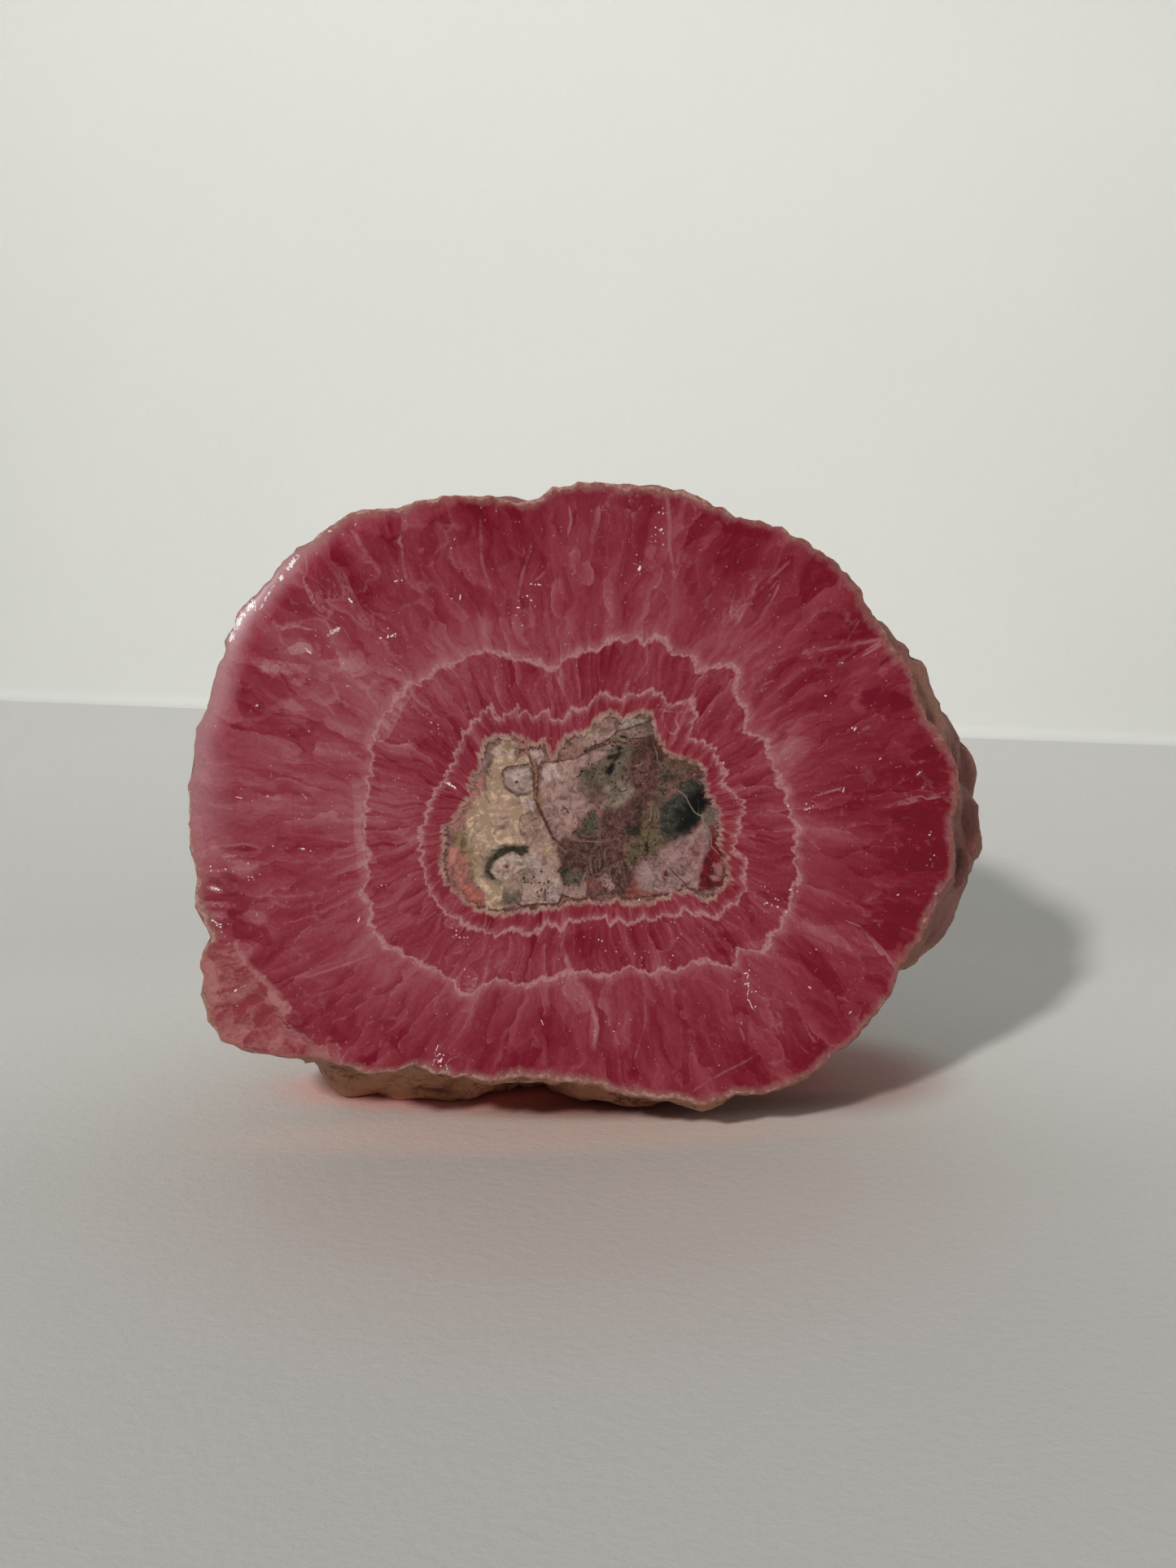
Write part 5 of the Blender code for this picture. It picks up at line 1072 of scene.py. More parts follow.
def markSkin(mesh, cut, inset, relief, pit):
    # the markings' fields, for the materials to read. On the body only the crust's own one counts.
    x, z = cut[:, 0], cut[:, 2]
    flat = columns(x, z, np.zeros_like(x))
    bend = [latticeNoise(flat, 3.5, 61 + k) + 0.5 * latticeNoise(flat, 1.5, 63 + k) - 0.75 for k in (0, 1)]

    def bent(reach):
        # each point's place, moved by noise of this strength, which makes straight markings wavy
        return x + reach * bend[0], z + reach * bend[1]

    def whole(values, fill=0.0):
        values = np.asarray(values, float)
        return np.concatenate([values, np.full((len(pit), values.shape[1]), fill)])

    angle, out = fanPlace(*bent(0.8))
    scale = fibreFan["scale"]
    tones = softSpots(*bent(1.6), cutMarks["tones"])
    tones += bladeTones(angle, out) * smoothStep((out - fibreFan["starts"][0]) / 3)
    facetGap, facetTone = facetField(*bent(0.25), cutMarks["facets"])
    facetTone = np.where(facetTone < 0, 0.75 * facetTone, facetTone)
    about = np.arctan2(z - stoneForm["cutMiddle"][1], x - stoneForm["cutMiddle"][0])
    rimWidth = np.interp(np.degrees(about), *np.array(cutMarks["rimWidth"]).T)
    side, strength = lineField(*bent(0.3), paleLines)
    darkSide, darkStrength = lineField(*bent(0.2), coreLines["dark"])
    threadSide, threadStrength = lineField(x, z, coreLines["threads"])
    # the painted sheen along the rolled edge: how strongly it shows at each point
    middle, half = cutMarks["paintedSheenSpan"]
    paintedSheen = np.exp(-((np.degrees(turnBetween(about, math.radians(middle))) / half) ** 4))
    paintedSheenWidth = np.interp(np.degrees(about) % 360, *cutMarks["paintedSheenWidth"])
    wavyInset = inset + 0.6 * bend[0] + 0.4 * bend[1]
    paintedSheen *= np.interp(wavyInset / paintedSheenWidth, *cutMarks["paintedSheenDensity"])
    bandNames = ("outerBand", "innerBand", "coreEdge")
    fields = {
        "paintedSheen": np.outer(paintedSheen, (1, 0, 0)),
        "fan": columns(np.cos(angle) * scale, np.sin(angle) * scale, out),
        "bands": columns(*[outlineDistance(x, z, cutMarks[name]) for name in bandNames]),
        "edges": columns(inset - rimWidth, outlineDistance(x, z, cutMarks["lobe"]), tones),
        "facets": columns(facetGap, facetTone, softSpots(x, z, cutMarks["sparkle"])),
        "threads": columns(threadSide, threadStrength, softSpots(x, z, cutMarks["scaly"])),
        "paleLine": columns(side, strength, softSpots(x, z, coreLines["streaks"])),
        "darkLine": columns(darkSide, darkStrength, softSpots(x, z, coreLines["grains"])),
        # the painted glints: the place along and across the nearest one, and its strength
        "glint": dashField(x, z, paintedGlints),
        "speck": dashField(x, z, coreLines["specks"]),
    }
    for name, values in fields.items():
        mesh.attributes.new(name, "FLOAT_VECTOR", "POINT").data.foreach_set("vector", whole(values).ravel())
    paint = whole(np.concatenate([paintCore(x, z), np.ones((len(x), 1))], axis=1), 1.0)
    mesh.attributes.new("corePaint", "FLOAT_COLOR", "POINT").data.foreach_set("color", paint.ravel())
    crust = np.concatenate([np.zeros((len(cut), 3)), columns(relief, pit, np.zeros_like(pit))])
    mesh.attributes.new("crust", "FLOAT_VECTOR", "POINT").data.foreach_set("vector", crust.ravel())
    print("markings worked out")


def makeStone():
    cut, inset, cutCounts = cutGrid()
    body, relief, pit, bodyAround = bodyGrid()
    mesh = skinMesh(cut, cutCounts, body, bodyAround)
    markSkin(mesh, cut, inset, relief, pit)
    return add("nodule_skin", mesh)


bench = {"tree": None}  # the node tree that the helpers below add to


def feed(node, inputs):
    # each input is a value or another node's output
    for name, value in dict(inputs).items():
        if isinstance(value, bpy.types.NodeSocket):
            bench["tree"].links.new(value, node.inputs[name])
        else:
            node.inputs[name].default_value = value


def place(kind, inputs=(), **settings):
    # one node with its settings and its inputs
    node = bench["tree"].nodes.new("ShaderNode" + kind)
    for name, value in settings.items():
        setattr(node, name, value)
    feed(node, inputs)
    return node


def sums(operation, *values, clamp=False):
    return place("Math", dict(enumerate(values)), operation=operation, use_clamp=clamp).outputs[0]


def total(*values):
    # the sum of several outputs
    result = values[0]
    for value in values[1:]:
        result = sums("ADD", result, value)
    return result


def product(first, second, clamp=False):
    return sums("MULTIPLY", first, second, clamp=clamp)


def shifted(value, factor, offset):
    # value * factor + offset
    return sums("MULTIPLY_ADD", value, factor, offset)


def magnitude(value):
    return sums("ABSOLUTE", value)


def times(vector, factors):
    return place("VectorMath", {0: vector, 1: factors}, operation="MULTIPLY").outputs[0]


def plus(vector, other):
    return place("VectorMath", {0: vector, 1: other}, operation="ADD").outputs[0]


def lengthOf(x, z):
    return sums("SQRT", total(product(x, x), product(z, z)))


def spread(value, low, high, toLow=0.0, toHigh=1.0, smooth=True):
    # turns low..high into toLow..toHigh, with soft ends
    inputs = {"Value": value, "From Min": low, "From Max": high, "To Min": toLow, "To Max": toHigh}
    kind = "SMOOTHSTEP" if smooth else "LINEAR"
    return place("MapRange", inputs, interpolation_type=kind).outputs["Result"]


def mixed(share, first, second, kind="MIX"):
    # colours blended by a share
    inputs = {0: share, 6: first, 7: second}
    return place("Mix", inputs, data_type="RGBA", blend_type=kind).outputs[2]


def noise(vector, scale, detail=2.0, roughness=0.5, distortion=0.0):
    inputs = {"Vector": vector, "Scale": scale, "Detail": detail}
    return place("TexNoise", {**inputs, "Roughness": roughness, "Distortion": distortion}).outputs


def noisy(*settings):
    # a smooth random value
    return noise(*settings)[0]


def shaken(*settings):
    # a smooth random vector, even round 0
    return plus(noise(*settings)["Color"], (-0.5, -0.5, -0.5))


def cells(vector, scale, feature="F1"):
    return place("TexVoronoi", {"Vector": vector, "Scale": scale}, feature=feature).outputs


def ramp(value, stops):
    # a colour ramp through (position, colour) stops
    node = place("ValToRGB", {"Fac": value})
    stretch = node.color_ramp.elements
    while len(stretch) < len(stops):
        stretch.new(0.5)
    for element, (position, colour) in zip(stretch, stops):
        element.position = position
        element.color = (*colour[:3], 1)
    return node.outputs["Color"]


def split(vector):
    return place("SeparateXYZ", {0: vector}).outputs


def channels(colour):
    return place("SeparateColor", {0: colour}).outputs


def readField(name, output="Vector"):
    return place("Attribute", attribute_name=name).outputs[output]


def millimetres():
    # Object coordinates, counted in millimetres
    return times(place("TexCoord").outputs["Object"], (1000, 1000, 1000))


def newMaterial(name):
    material = bpy.data.materials.new(name)
    material.use_nodes = True
    tree = bench["tree"] = material.node_tree
    tree.nodes.clear()
    shader = place("BsdfPrincipled")
    output = place("OutputMaterial", {0: shader.outputs[0]})
    return material, shader, output


cutLook = {
    "deepest": (106, 8, 30),
    "deep": (114, 17, 37),
    "body": (126, 40, 53),
    "milky": (140, 58, 69),
    "cloudy": (152, 86, 93),
    "pale": (166, 112, 116),
    "lobe": (149, 86, 87),
    "lobeDeep": (136, 58, 66),
    "lobePale": (166, 112, 109),
    "bandLine": (176, 128, 128),
    # the colour of the painted sheen along the rolled edge
    "paintedSheen": (164, 118, 124),
    "rimHaze": (141, 98, 93),
    "coreRim": (166, 132, 120),
    "coreSeam": (84, 40, 40),
    "worm": (134, 104, 78),
    "wormPale": (190, 166, 140),
    "streak": (142, 108, 104),
    "crack": (70, 42, 37),
    "grain": (38, 38, 30),
    # the colour of the painted glints and highlights
    "thread": (132, 118, 98),
    "glint": (236, 214, 214),
    "rindBrown": (112, 74, 66),
    "rindTan": (142, 98, 88),
    "rindCream": (166, 134, 124),
}


def polishedCut():
    material, shader, _ = newMaterial("polished_cut")
    colour = {name: (*linear(seen, **cutLight), 1) for name, seen in cutLook.items()}
    where = millimetres()
    fan = readField("fan")
    outer, inner, core = split(readField("bands"))
    inset, lobe, tone = split(readField("edges"))
    threadSide, threadStrength, scales = split(readField("threads"))

    # all in the red stone leans along the fan: blades with a crisp side and a soft one, and feathered clouds
    wobble = shaken(where, 0.22, 3.0)
    jitter = shaken(where, 0.8, 3.0, 0.6)
    jitterX = split(jitter)[0]
    fibre = noisy(times(plus(fan, times(jitter, (0.6, 0.6, 0.6))), (2.4, 2.4, 0.3)), 1.0, 5.0, 0.68)
    feather = place("CombineXYZ", {2: shifted(fibre, 1.0, -0.5)}).outputs[0]
    leaning = plus(fan, times(feather, (0, 0, 5)))
    leaning = plus(leaning, times(wobble, (2.4, 2.4, 5)))
    leaning = plus(leaning, times(jitter, (1.1, 1.1, 2.2)))
    straight = plus(fan, times(wobble, (1.8, 1.8, 4)))
    straight = plus(straight, times(jitter, (0.25, 0.25, 1.2)))

    def blades(width, length):
        # crystals this wide and long: each has a tone of its own and a slope of tone across it
        scaled = times(straight, (1 / width, 1 / width, 1 / length))
        cell = cells(scaled, 1.0)
        pick = channels(cell["Color"])
        across = place("VectorMath", {0: scaled, 1: cell["Position"]}, operation="CROSS_PRODUCT")
        slope = product(split(across.outputs[0])[2], width / fibreFan["scale"])
        signed = product(slope, shifted(pick[1], 3.2, -1.6))
        return pick[0], signed, scaled

    wideTone, wideSlope, _ = blades(3.2, 12.0)
    middleTone, middleSlope, middleAt = blades(1.5, 6.0)
    thinTone, thinSlope, _ = blades(0.7, 3.0)
    cloud = noisy(times(leaning, (0.14, 0.14, 0.12)), 1.0, 4.0, 0.55, 0.3)
    featherCloud = noisy(times(leaning, (0.7, 0.7, 0.24)), 1.0, 3.0, 0.6)
    wisp = noisy(plus(where, times(wobble, (5, 5, 5))), 0.6, 5.0, 0.68, 1.2)
    sugar = noisy(where, 2.6, 3.0, 0.7)
    borders = cells(middleAt, 1.0, "DISTANCE_TO_EDGE")[0]
    litEdge = product(spread(borders, 0.02, 0.09, 1.0, 0.0), spread(middleSlope, 0.1, 0.35))
    litEdge = product(litEdge, spread(wisp, 0.5, 0.62))
    scaly = total(noisy(where, 0.14, 3.0, 0.6), scales)
    flakes = product(spread(borders, 0.0, 0.09, 1.0, 0.0), spread(scaly, 0.5, 0.72))
    flakes = product(flakes, spread(jitterX, -0.06, 0.06))

    # how pale the red stone is: soft patches, crystal faces, blades, clouds, and a glow past the outer band
    outward = spread(outer, 4.0, 16.0)
    outside = sums("GREATER_THAN", outer, 0.0)
    facetGap, facetTone, sparkle = split(readField("facets"))
    facet = spread(shifted(jitterX, 0.5, facetGap), -0.1, 0.06, 1.0, 0.0)
    facetMottle = product(spread(facetTone, 0.5, 1.0), shifted(sugar, 3.0, -1.6))
    facet = product(facet, product(facetTone, total(facetMottle, 1.0)))
    detail = total(
        shifted(middleTone, 0.28, -0.14), product(middleSlope, 0.64),
        shifted(thinTone, 0.2, -0.1), product(thinSlope, 0.4),
        shifted(fibre, 0.75, -0.375), shifted(sugar, 0.9, -0.45))
    parts = [
        tone,
        facet,
        product(shifted(wideTone, 0.44, -0.22), spread(outward, 0.0, 1.0, 0.4, 1.0)),
        product(wideSlope, spread(outward, 0.0, 1.0, 0.4, 0.8)),
        product(detail, spread(outer, -0.5, 0.5, 1.3, 1.0)),
        shifted(cloud, 1.0, -0.5),
        shifted(featherCloud, 0.45, -0.22),
        shifted(wisp, 0.4, -0.2),
        product(flakes, 0.3),
        product(spread(outer, 0.0, 5.0, 0.45, 0.0, smooth=False), outside),
        spread(outer, 6.0, 20.0, 0.0, -0.15),
    ]
    depthTone = spread(total(*parts), -1.85, 2.15, smooth=False)
    red = ramp(depthTone, [
        (0.0, colour["deepest"]), (0.22, colour["deep"]), (0.41, colour["body"]), (0.59, colour["milky"]),
        (0.8, colour["cloudy"]), (1.0, colour["pale"])])
    red = mixed(product(sums("MAXIMUM", flakes, litEdge), 0.32), red, colour["pale"])

    # the broken corner, with a thin pale edge
    lobeGap = total(lobe, product(jitterX, 3.0))
    lobeMask = spread(lobeGap, 0.2, -0.2)
    lobeTone = total(detail, product(facet, 0.6), shifted(wisp, 1.2, -0.1))
    lobeTint = ramp(lobeTone, [(0.15, colour["lobeDeep"]), (0.5, colour["lobe"]), (0.9, colour["lobePale"])])
    red = mixed(product(lobeMask, 0.85), red, lobeTint)
    lobeEdge = spread(magnitude(total(lobeGap, 0.2)), 0.1, 0.3, 0.55, 0.0)
    red = mixed(product(lobeEdge, spread(sugar, 0.4, 0.6)), red, colour["pale"])

    # crystal tips: the distance to the nearest point of a row of cells makes an even run of sharp teeth
    tips = cells(plus(times(fan, (0.95, 0.95, 0.1)), times(wobble, (0.6, 0.6, 0.6))), 1.0)["Distance"]
    smallTips = cells(times(fan, (2.4, 2.4, 0.3)), 1.0)["Distance"]
    teeth = total(shifted(tips, 0.9, -0.4), shifted(smallTips, 0.4, -0.18))
    thick = noisy(where, 0.35, 2.0)

    def bandLine(distance, half, haze, hazeLow, hazeHigh):
        # a thin pale line with teeth, and a haze that reaches from hazeLow inwards to hazeHigh outwards
        bent = total(distance, teeth)
        width = product(spread(thick, 0.35, 0.68, 0.55, 2.0), half)
        line = spread(sums("DIVIDE", magnitude(bent), width), 0.4, 1.3, 1.0, 0.0)
        line = product(line, spread(sugar, 0.36, 0.58, 0.45, 1.0))
        inwards = spread(bent, hazeLow, 0.0, 0.0, haze)
        outwards = spread(bent, 0.0, hazeHigh, haze, 0.0)
        glow = product(sums("MINIMUM", inwards, outwards), spread(wisp, 0.35, 0.65, 0.5, 1.2))
        return sums("MAXIMUM", product(line, 0.85), glow)

    banded = mixed(bandLine(outer, 0.24, 0.34, -0.35, 1.3), red, colour["bandLine"])
    banded = mixed(bandLine(inner, 0.2, 0.34, -0.9, 0.4), banded, colour["bandLine"])

    # the painted sheen along the rolled edge, and the thin pale lines
    paintedSheen = split(readField("paintedSheen"))[0]
    banded = mixed(product(paintedSheen, spread(sugar, 0.3, 0.6, 0.75, 1.0)), banded, colour["paintedSheen"])
    side, strength, streaky = split(readField("paleLine"))
    pale = product(spread(magnitude(side), 0.3, 1.4, 1.0, 0.0), strength)
    pale = product(pale, spread(featherCloud, 0.4, 0.6, 0.15, 1.0))
    banded = mixed(pale, banded, colour["pale"])

    # the core: its patches mottled, the dark ones more so, with grains where they are creamy and wavy streaks
    paint = readField("corePaint", "Color")
    mottle = noisy(where, 0.9, 6.0, 0.75, 0.8)
    mottled = ramp(mottle, [(0.37, (0.48, 0.44, 0.42)), (0.5, (1, 1, 1)), (0.63, (1.58, 1.56, 1.5))])
    paint = mixed(1.0, paint, mottled, "MULTIPLY")
    _, green, blue = channels(paint)
    dim = spread(green, 0.03, 0.14, 1.0, 0.0)
    fleck = noisy(where, 1.5, 5.0, 0.8, 0.6)
    flecks = ramp(fleck, [(0.36, (0.5, 0.5, 0.5)), (0.5, (1, 1, 1)), (0.66, (2.3, 2.2, 2.1))])
    paint = mixed(dim, paint, flecks, "MULTIPLY")
    creamy = spread(sums("SUBTRACT", green, blue), 0.05, 0.13, 0.0, 0.7)
    worm = cells(plus(where, times(jitter, (3, 3, 3))), 1.15)["Distance"]
    paint = mixed(product(spread(worm, 0.4, 0.6), creamy), paint, colour["worm"])
    paint = mixed(product(spread(worm, 0.32, 0.1), creamy), paint, colour["wormPale"])
    streak = noisy(times(where, (1.0, 1.0, 0.42)), 0.8, 4.0, 0.65, 1.4)
    streak = spread(magnitude(total(streak, -0.5)), 0.0, 0.05, 0.5, 0.0)
    paint = mixed(product(streak, streaky, clamp=True), paint, colour["streak"])

    # its dark grains, cracks and specks, and its pale threads
    darkSide, darkStrength, grainShare = split(readField("darkLine"))
    grainCells = cells(where, 2.6)
    grainPick = channels(grainCells["Color"])[0]
    grainAway = sums("SUBTRACT", grainCells["Distance"], product(grainPick, 0.42))
    grainHere = sums("GREATER_THAN", grainShare, sums("SUBTRACT", 1.05, grainPick))
    grain = product(spread(grainAway, -0.06, 0.06, 1.0, 0.0), grainHere)
    paint = mixed(product(grain, 0.8), paint, colour["grain"])
    dark = product(spread(magnitude(darkSide), 0.4, 1.3, 1.0, 0.0), darkStrength)
    dark = product(dark, spread(sugar, 0.36, 0.54, 0.4, 1.0))
    paint = mixed(dark, paint, colour["crack"])
    speckX, speckZ, speckStrength = split(readField("speck"))
    speck = product(spread(lengthOf(speckX, speckZ), 0.7, 1.3, 1.0, 0.0), speckStrength)
    paint = mixed(speck, paint, colour["grain"])
    thread = product(spread(magnitude(threadSide), 0.5, 1.6, 1.0, 0.0), threadStrength)
    paint = mixed(thread, paint, colour["thread"])

    # the core's pale toothed rim, with a dark seam along it
    ragged = total(core, product(teeth, 0.9), shifted(sugar, 0.8, -0.4))
    rimStrength = product(spread(wisp, 0.35, 0.62, 0.25, 1.0), spread(sugar, 0.35, 0.6, 0.5, 1.0))
    rimOfCore = product(spread(magnitude(ragged), 0.12, 0.44, 1.0, 0.0), rimStrength)
    seam = magnitude(total(ragged, 0.5))
    seam = product(spread(seam, 0.04, 0.16, 1.0, 0.0), spread(wisp, 0.4, 0.55, 0.2, 0.8))
    looks = mixed(spread(ragged, -0.06, 0.06, 1.0, 0.0), banded, paint)
    looks = mixed(seam, looks, colour["coreSeam"])
    looks = mixed(rimOfCore, looks, colour["coreRim"])

    # the rind that shows round the cut, and a haze just inside it
    rindWave = noisy(where, 0.6, 5.0, 0.72)
    rindGap = total(inset, shifted(rindWave, 2.4, -1.2), product(teeth, 0.5))
    rindLine = spread(rindGap, -0.08, 0.08, 0.9, 0.0)
    rindMottle = noisy(where, 1.3, 4.0, 0.65)
    rindMottle = total(rindMottle, spread(split(where)[0], 0.0, 36.0, 0.06, -0.06))
    rindStops = [(0.34, colour["rindBrown"]), (0.5, colour["rindTan"]), (0.64, colour["rindCream"])]
    rindTint = ramp(rindMottle, rindStops)
    rimHaze = product(spread(rindGap, 0.0, 0.95, 0.75, 0.0), spread(wisp, 0.3, 0.6, 0.55, 1.0))
    looks = mixed(rimHaze, looks, colour["rimHaze"])
    looks = mixed(rindLine, looks, rindTint)

    # painted glints and highlights: the larger glints, a scatter of fine ones, and sparks where they gather,
    # all painted in the glint colour
    glintX, glintZ, glintStrength = split(readField("glint"))
    ragGlint = shifted(noisy(where, 4.0, 2.0), 2.4, -1.0)
    glint = spread(total(lengthOf(glintX, glintZ), ragGlint), 0.4, 0.95, 1.0, 0.0)
    glint = product(glint, glintStrength, clamp=True)
    fineGlintCells = cells(where, 0.9)
    fineGlintPick = channels(fineGlintCells["Color"])[1]
    fineGlintSize = spread(fineGlintPick, 0.84, 1.0, -0.06, 0.1, smooth=False)
    fineGlintAway = sums("SUBTRACT", fineGlintCells["Distance"], fineGlintSize)
    paintedGlintMask = product(spread(fineGlintAway, 0.0, 0.05, 1.0, 0.0), spread(sugar, 0.4, 0.6, 0.3, 0.9))
    paintedGlintMask = product(paintedGlintMask, spread(core, 0.5, 1.0))
    sparks = cells(where, 2.4)
    sparkPick = spread(total(product(sparkle, 0.4), channels(sparks["Color"])[0]), 0.9, 1.2)
    sparkMask = product(spread(sparks["Distance"], 0.12, 0.32, 1.0, 0.0), sparkPick)
    paintedGlintMask = sums("MAXIMUM", paintedGlintMask, sparkMask)
    looks = mixed(sums("MAXIMUM", glint, paintedGlintMask), looks, colour["glint"])

    # the rim and the broken corner are duller than the polish, which is broken up along the rolled edge
    dull = sums("MAXIMUM", rindLine, lobeMask)
    height = total(product(fibre, 0.3), product(middleTone, 0.4), product(flakes, 0.6))
    bump = place("Bump", {"Height": height, "Strength": 0.25, "Distance": 0.0003})
    grainy = noisy(where, 3.2, 3.0, 0.8)
    worn = total(noisy(where, 0.8, 3.0, 0.7), shifted(grainy, 0.8, -0.4))
    worn = product(spread(worn, 0.44, 0.62, 0.95, 0.0), paintedSheen)
    coatHeight = total(sugar, product(fibre, 1.5), product(grainy, paintedSheen))
    coatStrength = spread(paintedSheen, 0.0, 0.6, 0.2, 0.7)
    coatBump = place("Bump", {"Height": coatHeight, "Strength": coatStrength, "Distance": 0.0002})
    feed(shader, {
        "Base Color": looks,
        "Roughness": spread(dull, 0.0, 1.0, 0.36, 0.55),
        "IOR": 1.45,
        "Specular IOR Level": 0.2,
        "Normal": bump.outputs[0],
        "Subsurface Weight": spread(core, -0.6, 0.6, 0.04, 0.25),
        "Subsurface Radius": (1.0, 0.2, 0.25),
        "Subsurface Scale": 2.5 * mm,
        "Coat Weight": product(spread(dull, 0.0, 1.0, 0.25, 0.06), sums("SUBTRACT", 1.0, worn)),
        "Coat Roughness": 0.13,
        "Coat IOR": 1.55,
        "Coat Normal": coatBump.outputs[0],
    })
    return material


rindLight = 0.66  # the share of full light that falls on the rind
rindLook = {
    "mauve": (126, 78, 72),
    "tan": (150, 110, 84),
    "cream": (154, 116, 102),
    "brown": (90, 55, 47),
    "pit": (62, 40, 32),
    "blush": (130, 70, 68),
}


def roughRind():
    material, shader, _ = newMaterial("rough_rind")
    colour = {name: (*linear(seen, rindLight), 1) for name, seen in rindLook.items()}
    where = millimetres()
    relief, pit, _ = split(readField("crust"))
    height = split(where)[2]
    large = noisy(where, 0.06, 3.0, 0.55)
    middle = noisy(where, 0.28, 4.0, 0.6, 0.6)
    fine = noisy(where, 1.4, 5.0, 0.65)
    low = spread(total(height, shifted(large, 30.0, -15.0)), 12.0, 24.0, 1.0, 0.0)
    looks = mixed(low, colour["mauve"], colour["tan"])
    looks = mixed(spread(large, 0.5, 0.64, 0.0, 0.65), looks, colour["tan"])
    looks = mixed(spread(middle, 0.5, 0.7, 0.0, 0.6), looks, colour["blush"])
    paleHigh = total(relief, shifted(fine, 1.6, -0.8))
    looks = mixed(spread(paleHigh, 0.15, 0.7, 0.0, 0.5), looks, colour["cream"])
    looks = mixed(spread(paleHigh, -0.05, -0.6, 0.0, 0.85), looks, colour["brown"])
    speckle = noisy(where, 0.7, 4.0, 0.6)
    pitted = total(pit, shifted(fine, 1.8, -0.95), shifted(speckle, 1.6, -0.8))
    looks = mixed(spread(pitted, 0.4, 1.1, 0.0, 0.7), looks, colour["pit"])
    # thin dark cracks, mostly lower down
    crack = noisy(times(where, (1, 1, 1.6)), 0.3, 4.0, 0.6, 0.8)
    crack = spread(magnitude(total(crack, -0.5)), 0.006, 0.034, 1.0, 0.0)
    crack = product(crack, spread(middle, 0.42, 0.6, 0.0, 0.8))
    looks = mixed(product(crack, spread(low, 0.0, 1.0, 0.35, 1.0)), looks, colour["pit"])
    bumpHeight = total(product(fine, 0.6), product(middle, 0.5))
    bump = place("Bump", {"Height": bumpHeight, "Strength": 0.9, "Distance": 0.0009})
    feed(shader, {
        "Base Color": looks,
        "Roughness": spread(fine, 0.3, 0.7, 0.5, 0.78),
        "Specular IOR Level": 0.25,
        "Normal": bump.outputs[0],
        "Subsurface Weight": 0.15,
        "Subsurface Radius": (1.0, 0.4, 0.3),
        "Subsurface Scale": 3.0 * mm,
    })
    return material


stone = makeStone()
stone.data.materials.append(polishedCut())
stone.data.materials.append(roughRind())
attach(stone, "root")
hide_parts("nodule")
print("stone dressed")

studio = {
    "floorHalf": 900.0,
    "floorLevel": -0.02,
    "wallFoot": ((-104.2, 223.6), (125.5, 166.3)),  # two points where the wall meets the floor
    "sweepRadius": 2.5,
    "wallHeight": 900.0,
    "wallHalf": 1100.0,
    "floorColour": (0.706, 0.71, 0.701),
    "wallColour": (0.972, 0.998, 0.98),
    "grain": {"Scale": 0.7, "Height": 0.0004},
    "keyAzimuth": -30.0,
    "keyElevation": 33.0,
    "keyStrength": 1.95,
    "keySpread": 4.0,
    "keyColour": (1.0, 0.97, 0.92),
    # a lamp that only the polish shows, where the edge rolls over: direction, size and power
    "gloss": [(-101.0, 25.0, 50.0, 180.0, 2.6)],
    "glossMiddle": (-36.5, -30.0, 63.0),
    "glossAway": 600.0,
    "skyColour": (0.97, 0.95, 0.92),
    "skyStrength": 0.196,
    # painted light and shade on the floor near the stone: the red light that the stone throws, painted
    # contact shadows under and beside it, and a lighter painted strip in front. Middle, half sizes, and what
    # is left of red and the rest
    "blush": [
        (-4.0, -9.0, 30.0, 9.0, 1.4, 0.48), (8.0, -18.0, 22.0, 4.0, 0.55, 0.42),
        (-6.0, -25.0, 34.0, 6.5, 1.22, 1.08), (-6.0, -34.0, 50.0, 44.0, 1.0, 0.945),
        (31.0, -9.0, 14.0, 12.0, 0.68, 0.45),
    ],
}


def paperGrain():
    # the fine tooth of the paper, which floor and wall share: a noise of this scale raised by this height
    group = bpy.data.node_groups.new("paper_grain", "ShaderNodeTree")
    for name, kind in (("Vector", "Vector"), ("Scale", "Float"), ("Height", "Float")):
        group.interface.new_socket(name, in_out="INPUT", socket_type="NodeSocket" + kind)
    group.interface.new_socket("Normal", in_out="OUTPUT", socket_type="NodeSocketVector")
    bench["tree"] = group
    entry = group.nodes.new("NodeGroupInput").outputs
    grain = noisy(entry["Vector"], entry["Scale"], 4.0, 0.65)
    bump = place("Bump", {"Height": grain, "Strength": 0.3, "Distance": entry["Height"]})
    feed(group.nodes.new("NodeGroupOutput"), {"Normal": bump.outputs[0]})
    return group


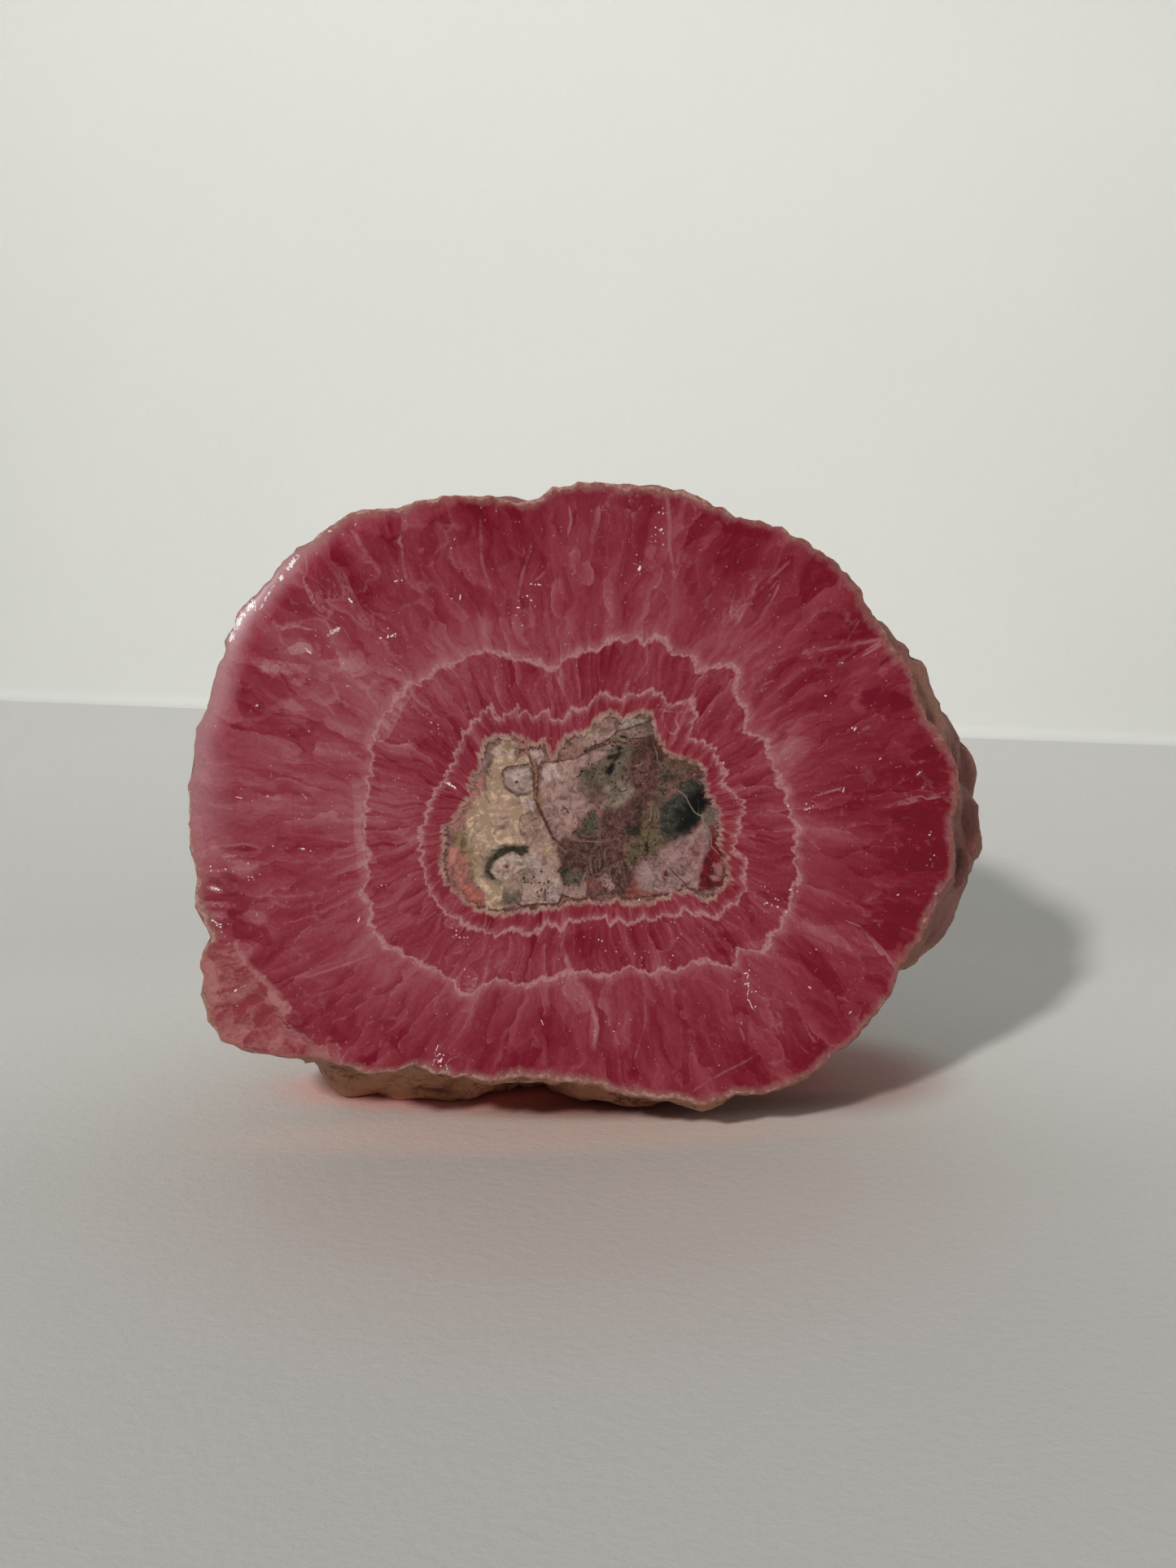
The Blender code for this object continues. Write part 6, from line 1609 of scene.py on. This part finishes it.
def backdropMaterial(name, colour, isWall, grain):
    material, shader, output = newMaterial(name)
    where = millimetres()
    shade = noisy(where, 0.02, 2.0)
    x, y, z = split(where)
    if isWall:  # it is dimmer near the floor and towards its sides
        # painted shade: the wall's colour is made dimmer near the floor, less so to the right, and dimmer
        # towards its sides
        paintedFalloff = spread(total(z, product(sums("MAXIMUM", x, 0.0), 0.15)), 0.0, 144.0, 0.81, 1.0, smooth=False)
        aside = product(x, 1 / 130)
        aside = spread(product(aside, aside), 0.0, 2.0, 0.0, 0.2, smooth=False)
        paintedFalloff = sums("SUBTRACT", paintedFalloff, aside)
    else:  # and the floor towards the front
        # painted shade: the floor's colour is made darker towards the front; and painted light: a lighter
        # band across it near y = 8 mm
        paintedFalloff = spread(y, -130.0, 160.0, 0.858, 0.98, smooth=False)
        paintedFalloff = product(paintedFalloff, spread(magnitude(total(y, -8.0)), 10.0, 48.0, 1.075, 1.0))
    paintedFalloff = total(paintedFalloff, shifted(shade, 0.04, -0.02))
    tint = place("VectorMath", {0: colour, "Scale": paintedFalloff}, operation="SCALE").outputs[0]
    # painted red bounce light and painted contact shadows: each oval tints the floor's colour
    for atX, atY, halfX, halfY, red, rest in studio["blush"] if not isWall else ():
        away = times(plus(where, (-atX, -atY, 0)), (1 / halfX, 1 / halfY, 0))
        away = place("VectorMath", {0: away}, operation="LENGTH").outputs["Value"]
        tint = mixed(spread(away, 0.5, 1.4, 1.0, 0.0), tint, (red, rest, rest * 0.97, 1), "MULTIPLY")
    bump = place("Group", node_tree=grain)
    feed(bump, {"Vector": where, **studio["grain"]})
    feed(shader, {"Base Color": tint, "Roughness": 0.9, "Specular IOR Level": 0.2, "Normal": bump.outputs[0]})
    if isWall:  # it stands close behind the stone, so it can't be seen from its other side
        back = place("NewGeometry").outputs["Backfacing"]
        clear = place("BsdfTransparent").outputs[0]
        feed(output, {0: place("MixShader", {0: back, 1: shader.outputs[0], 2: clear}).outputs[0]})
    return material


def makeStage():
    grain = paperGrain()
    half = studio["floorHalf"]
    floorMesh = bpy.data.meshes.new("floor")
    level = studio["floorLevel"]
    corners = [(x * half, y * half, level) for x, y in ((-1, -1), (1, -1), (1, 1), (-1, 1))]
    floorMesh.from_pydata((np.array(corners) * mm).tolist(), [], [(0, 1, 2, 3)])
    floorMesh.materials.append(backdropMaterial("floor_paper", studio["floorColour"], False, grain))

    (x0, y0), (x1, y1) = studio["wallFoot"]
    along = np.array([x1 - x0, y1 - y0]) / math.hypot(x1 - x0, y1 - y0)
    outward = np.array([-along[1], along[0]])  # away from the camera
    radius = studio["sweepRadius"]
    turn = np.linspace(0, math.pi / 2, 17)
    back = np.append(radius * np.sin(turn) - radius, 0.0)
    up = np.append(radius - radius * np.cos(turn), studio["wallHeight"])
    run = np.linspace(-1, 1, 9) * studio["wallHalf"]
    runs, rows = np.meshgrid(run, np.arange(len(back)), indexing="ij")
    flat = np.array([x0, y0]) + runs[..., None] * along + back[rows][..., None] * outward
    points = np.concatenate([flat, up[rows][..., None]], axis=-1).reshape(-1, 3)
    i, j = np.meshgrid(np.arange(len(run) - 1), np.arange(len(back) - 1), indexing="ij")
    first = (i * len(back) + j).ravel()
    quads = columns(first, first + len(back), first + len(back) + 1, first + 1)
    wallMesh = bpy.data.meshes.new("wall")
    wallMesh.from_pydata((points * mm).tolist(), [], quads.tolist())
    wallMesh.polygons.foreach_set("use_smooth", np.ones(len(quads), bool))
    wallMesh.materials.append(backdropMaterial("wall_paper", studio["wallColour"], True, grain))
    add("floor", floorMesh)
    add("wall", wallMesh)


def lookAt(item, fromPoint, toPoint):
    # turns a camera or light at fromPoint to face toPoint
    item.location = Vector(fromPoint)
    item.rotation_euler = (Vector(toPoint) - Vector(fromPoint)).to_track_quat("-Z", "Y").to_euler()


def direction(azimuth, elevation):
    # the unit vector that far round from the front and that far up, in degrees
    azimuth, elevation = math.radians(azimuth), math.radians(elevation)
    level = math.cos(elevation)
    return np.array([math.sin(azimuth) * level, -math.cos(azimuth) * level, math.sin(elevation)])


def makeLights():
    key = bpy.data.lights.new("key", "SUN")
    key.energy = studio["keyStrength"]
    key.angle = math.radians(studio["keySpread"])
    key.color = studio["keyColour"]
    keyItem = add("key", key)
    lookAt(keyItem, direction(studio["keyAzimuth"], studio["keyElevation"]), (0, 0, 0))
    keyItem.visible_glossy = False
    middle = np.array(studio["glossMiddle"])
    for azimuth, elevation, width, height, power in studio["gloss"]:
        lamp = bpy.data.lights.new("gloss", "AREA")
        lamp.shape = "RECTANGLE"
        lamp.size = width * mm
        lamp.size_y = height * mm
        lamp.energy = power
        lampItem = add("gloss", lamp)
        lampAt = middle + direction(azimuth, elevation) * studio["glossAway"]
        lookAt(lampItem, tuple(lampAt * mm), tuple(middle * mm))
        lampItem.visible_diffuse = False
        lampItem.visible_transmission = False
    world = bpy.data.worlds.new("room")
    world.use_nodes = True
    background = next(node for node in world.node_tree.nodes if node.type == "BACKGROUND")
    background.inputs[0].default_value = (*studio["skyColour"], 1)
    background.inputs[1].default_value = studio["skyStrength"]
    bpy.context.scene.world = world


photoView = {
    "azimuth": -4.35,
    "elevation": 14.5,
    "distance": 297.0,
    "target": (0.65, -1.76, 37.0),
    "focalPixels": 2895.0,
    "frameHeight": 1927.0,
    "filmHeight": 36.0,
}


def makeCamera():
    data = bpy.data.cameras.new("camera")
    data.sensor_fit = "VERTICAL"
    data.sensor_height = photoView["filmHeight"]
    data.lens = photoView["focalPixels"] / photoView["frameHeight"] * photoView["filmHeight"]
    data.clip_start = 0.01
    camera = add("camera", data)
    target = np.array(photoView["target"])
    eye = target + direction(photoView["azimuth"], photoView["elevation"]) * photoView["distance"]
    lookAt(camera, tuple(eye * mm), tuple(target * mm))
    bpy.context.scene.camera = camera


makeStage()
makeLights()
makeCamera()
bpy.context.scene.view_settings.view_transform = "Standard"
print("stage, lights and camera set")
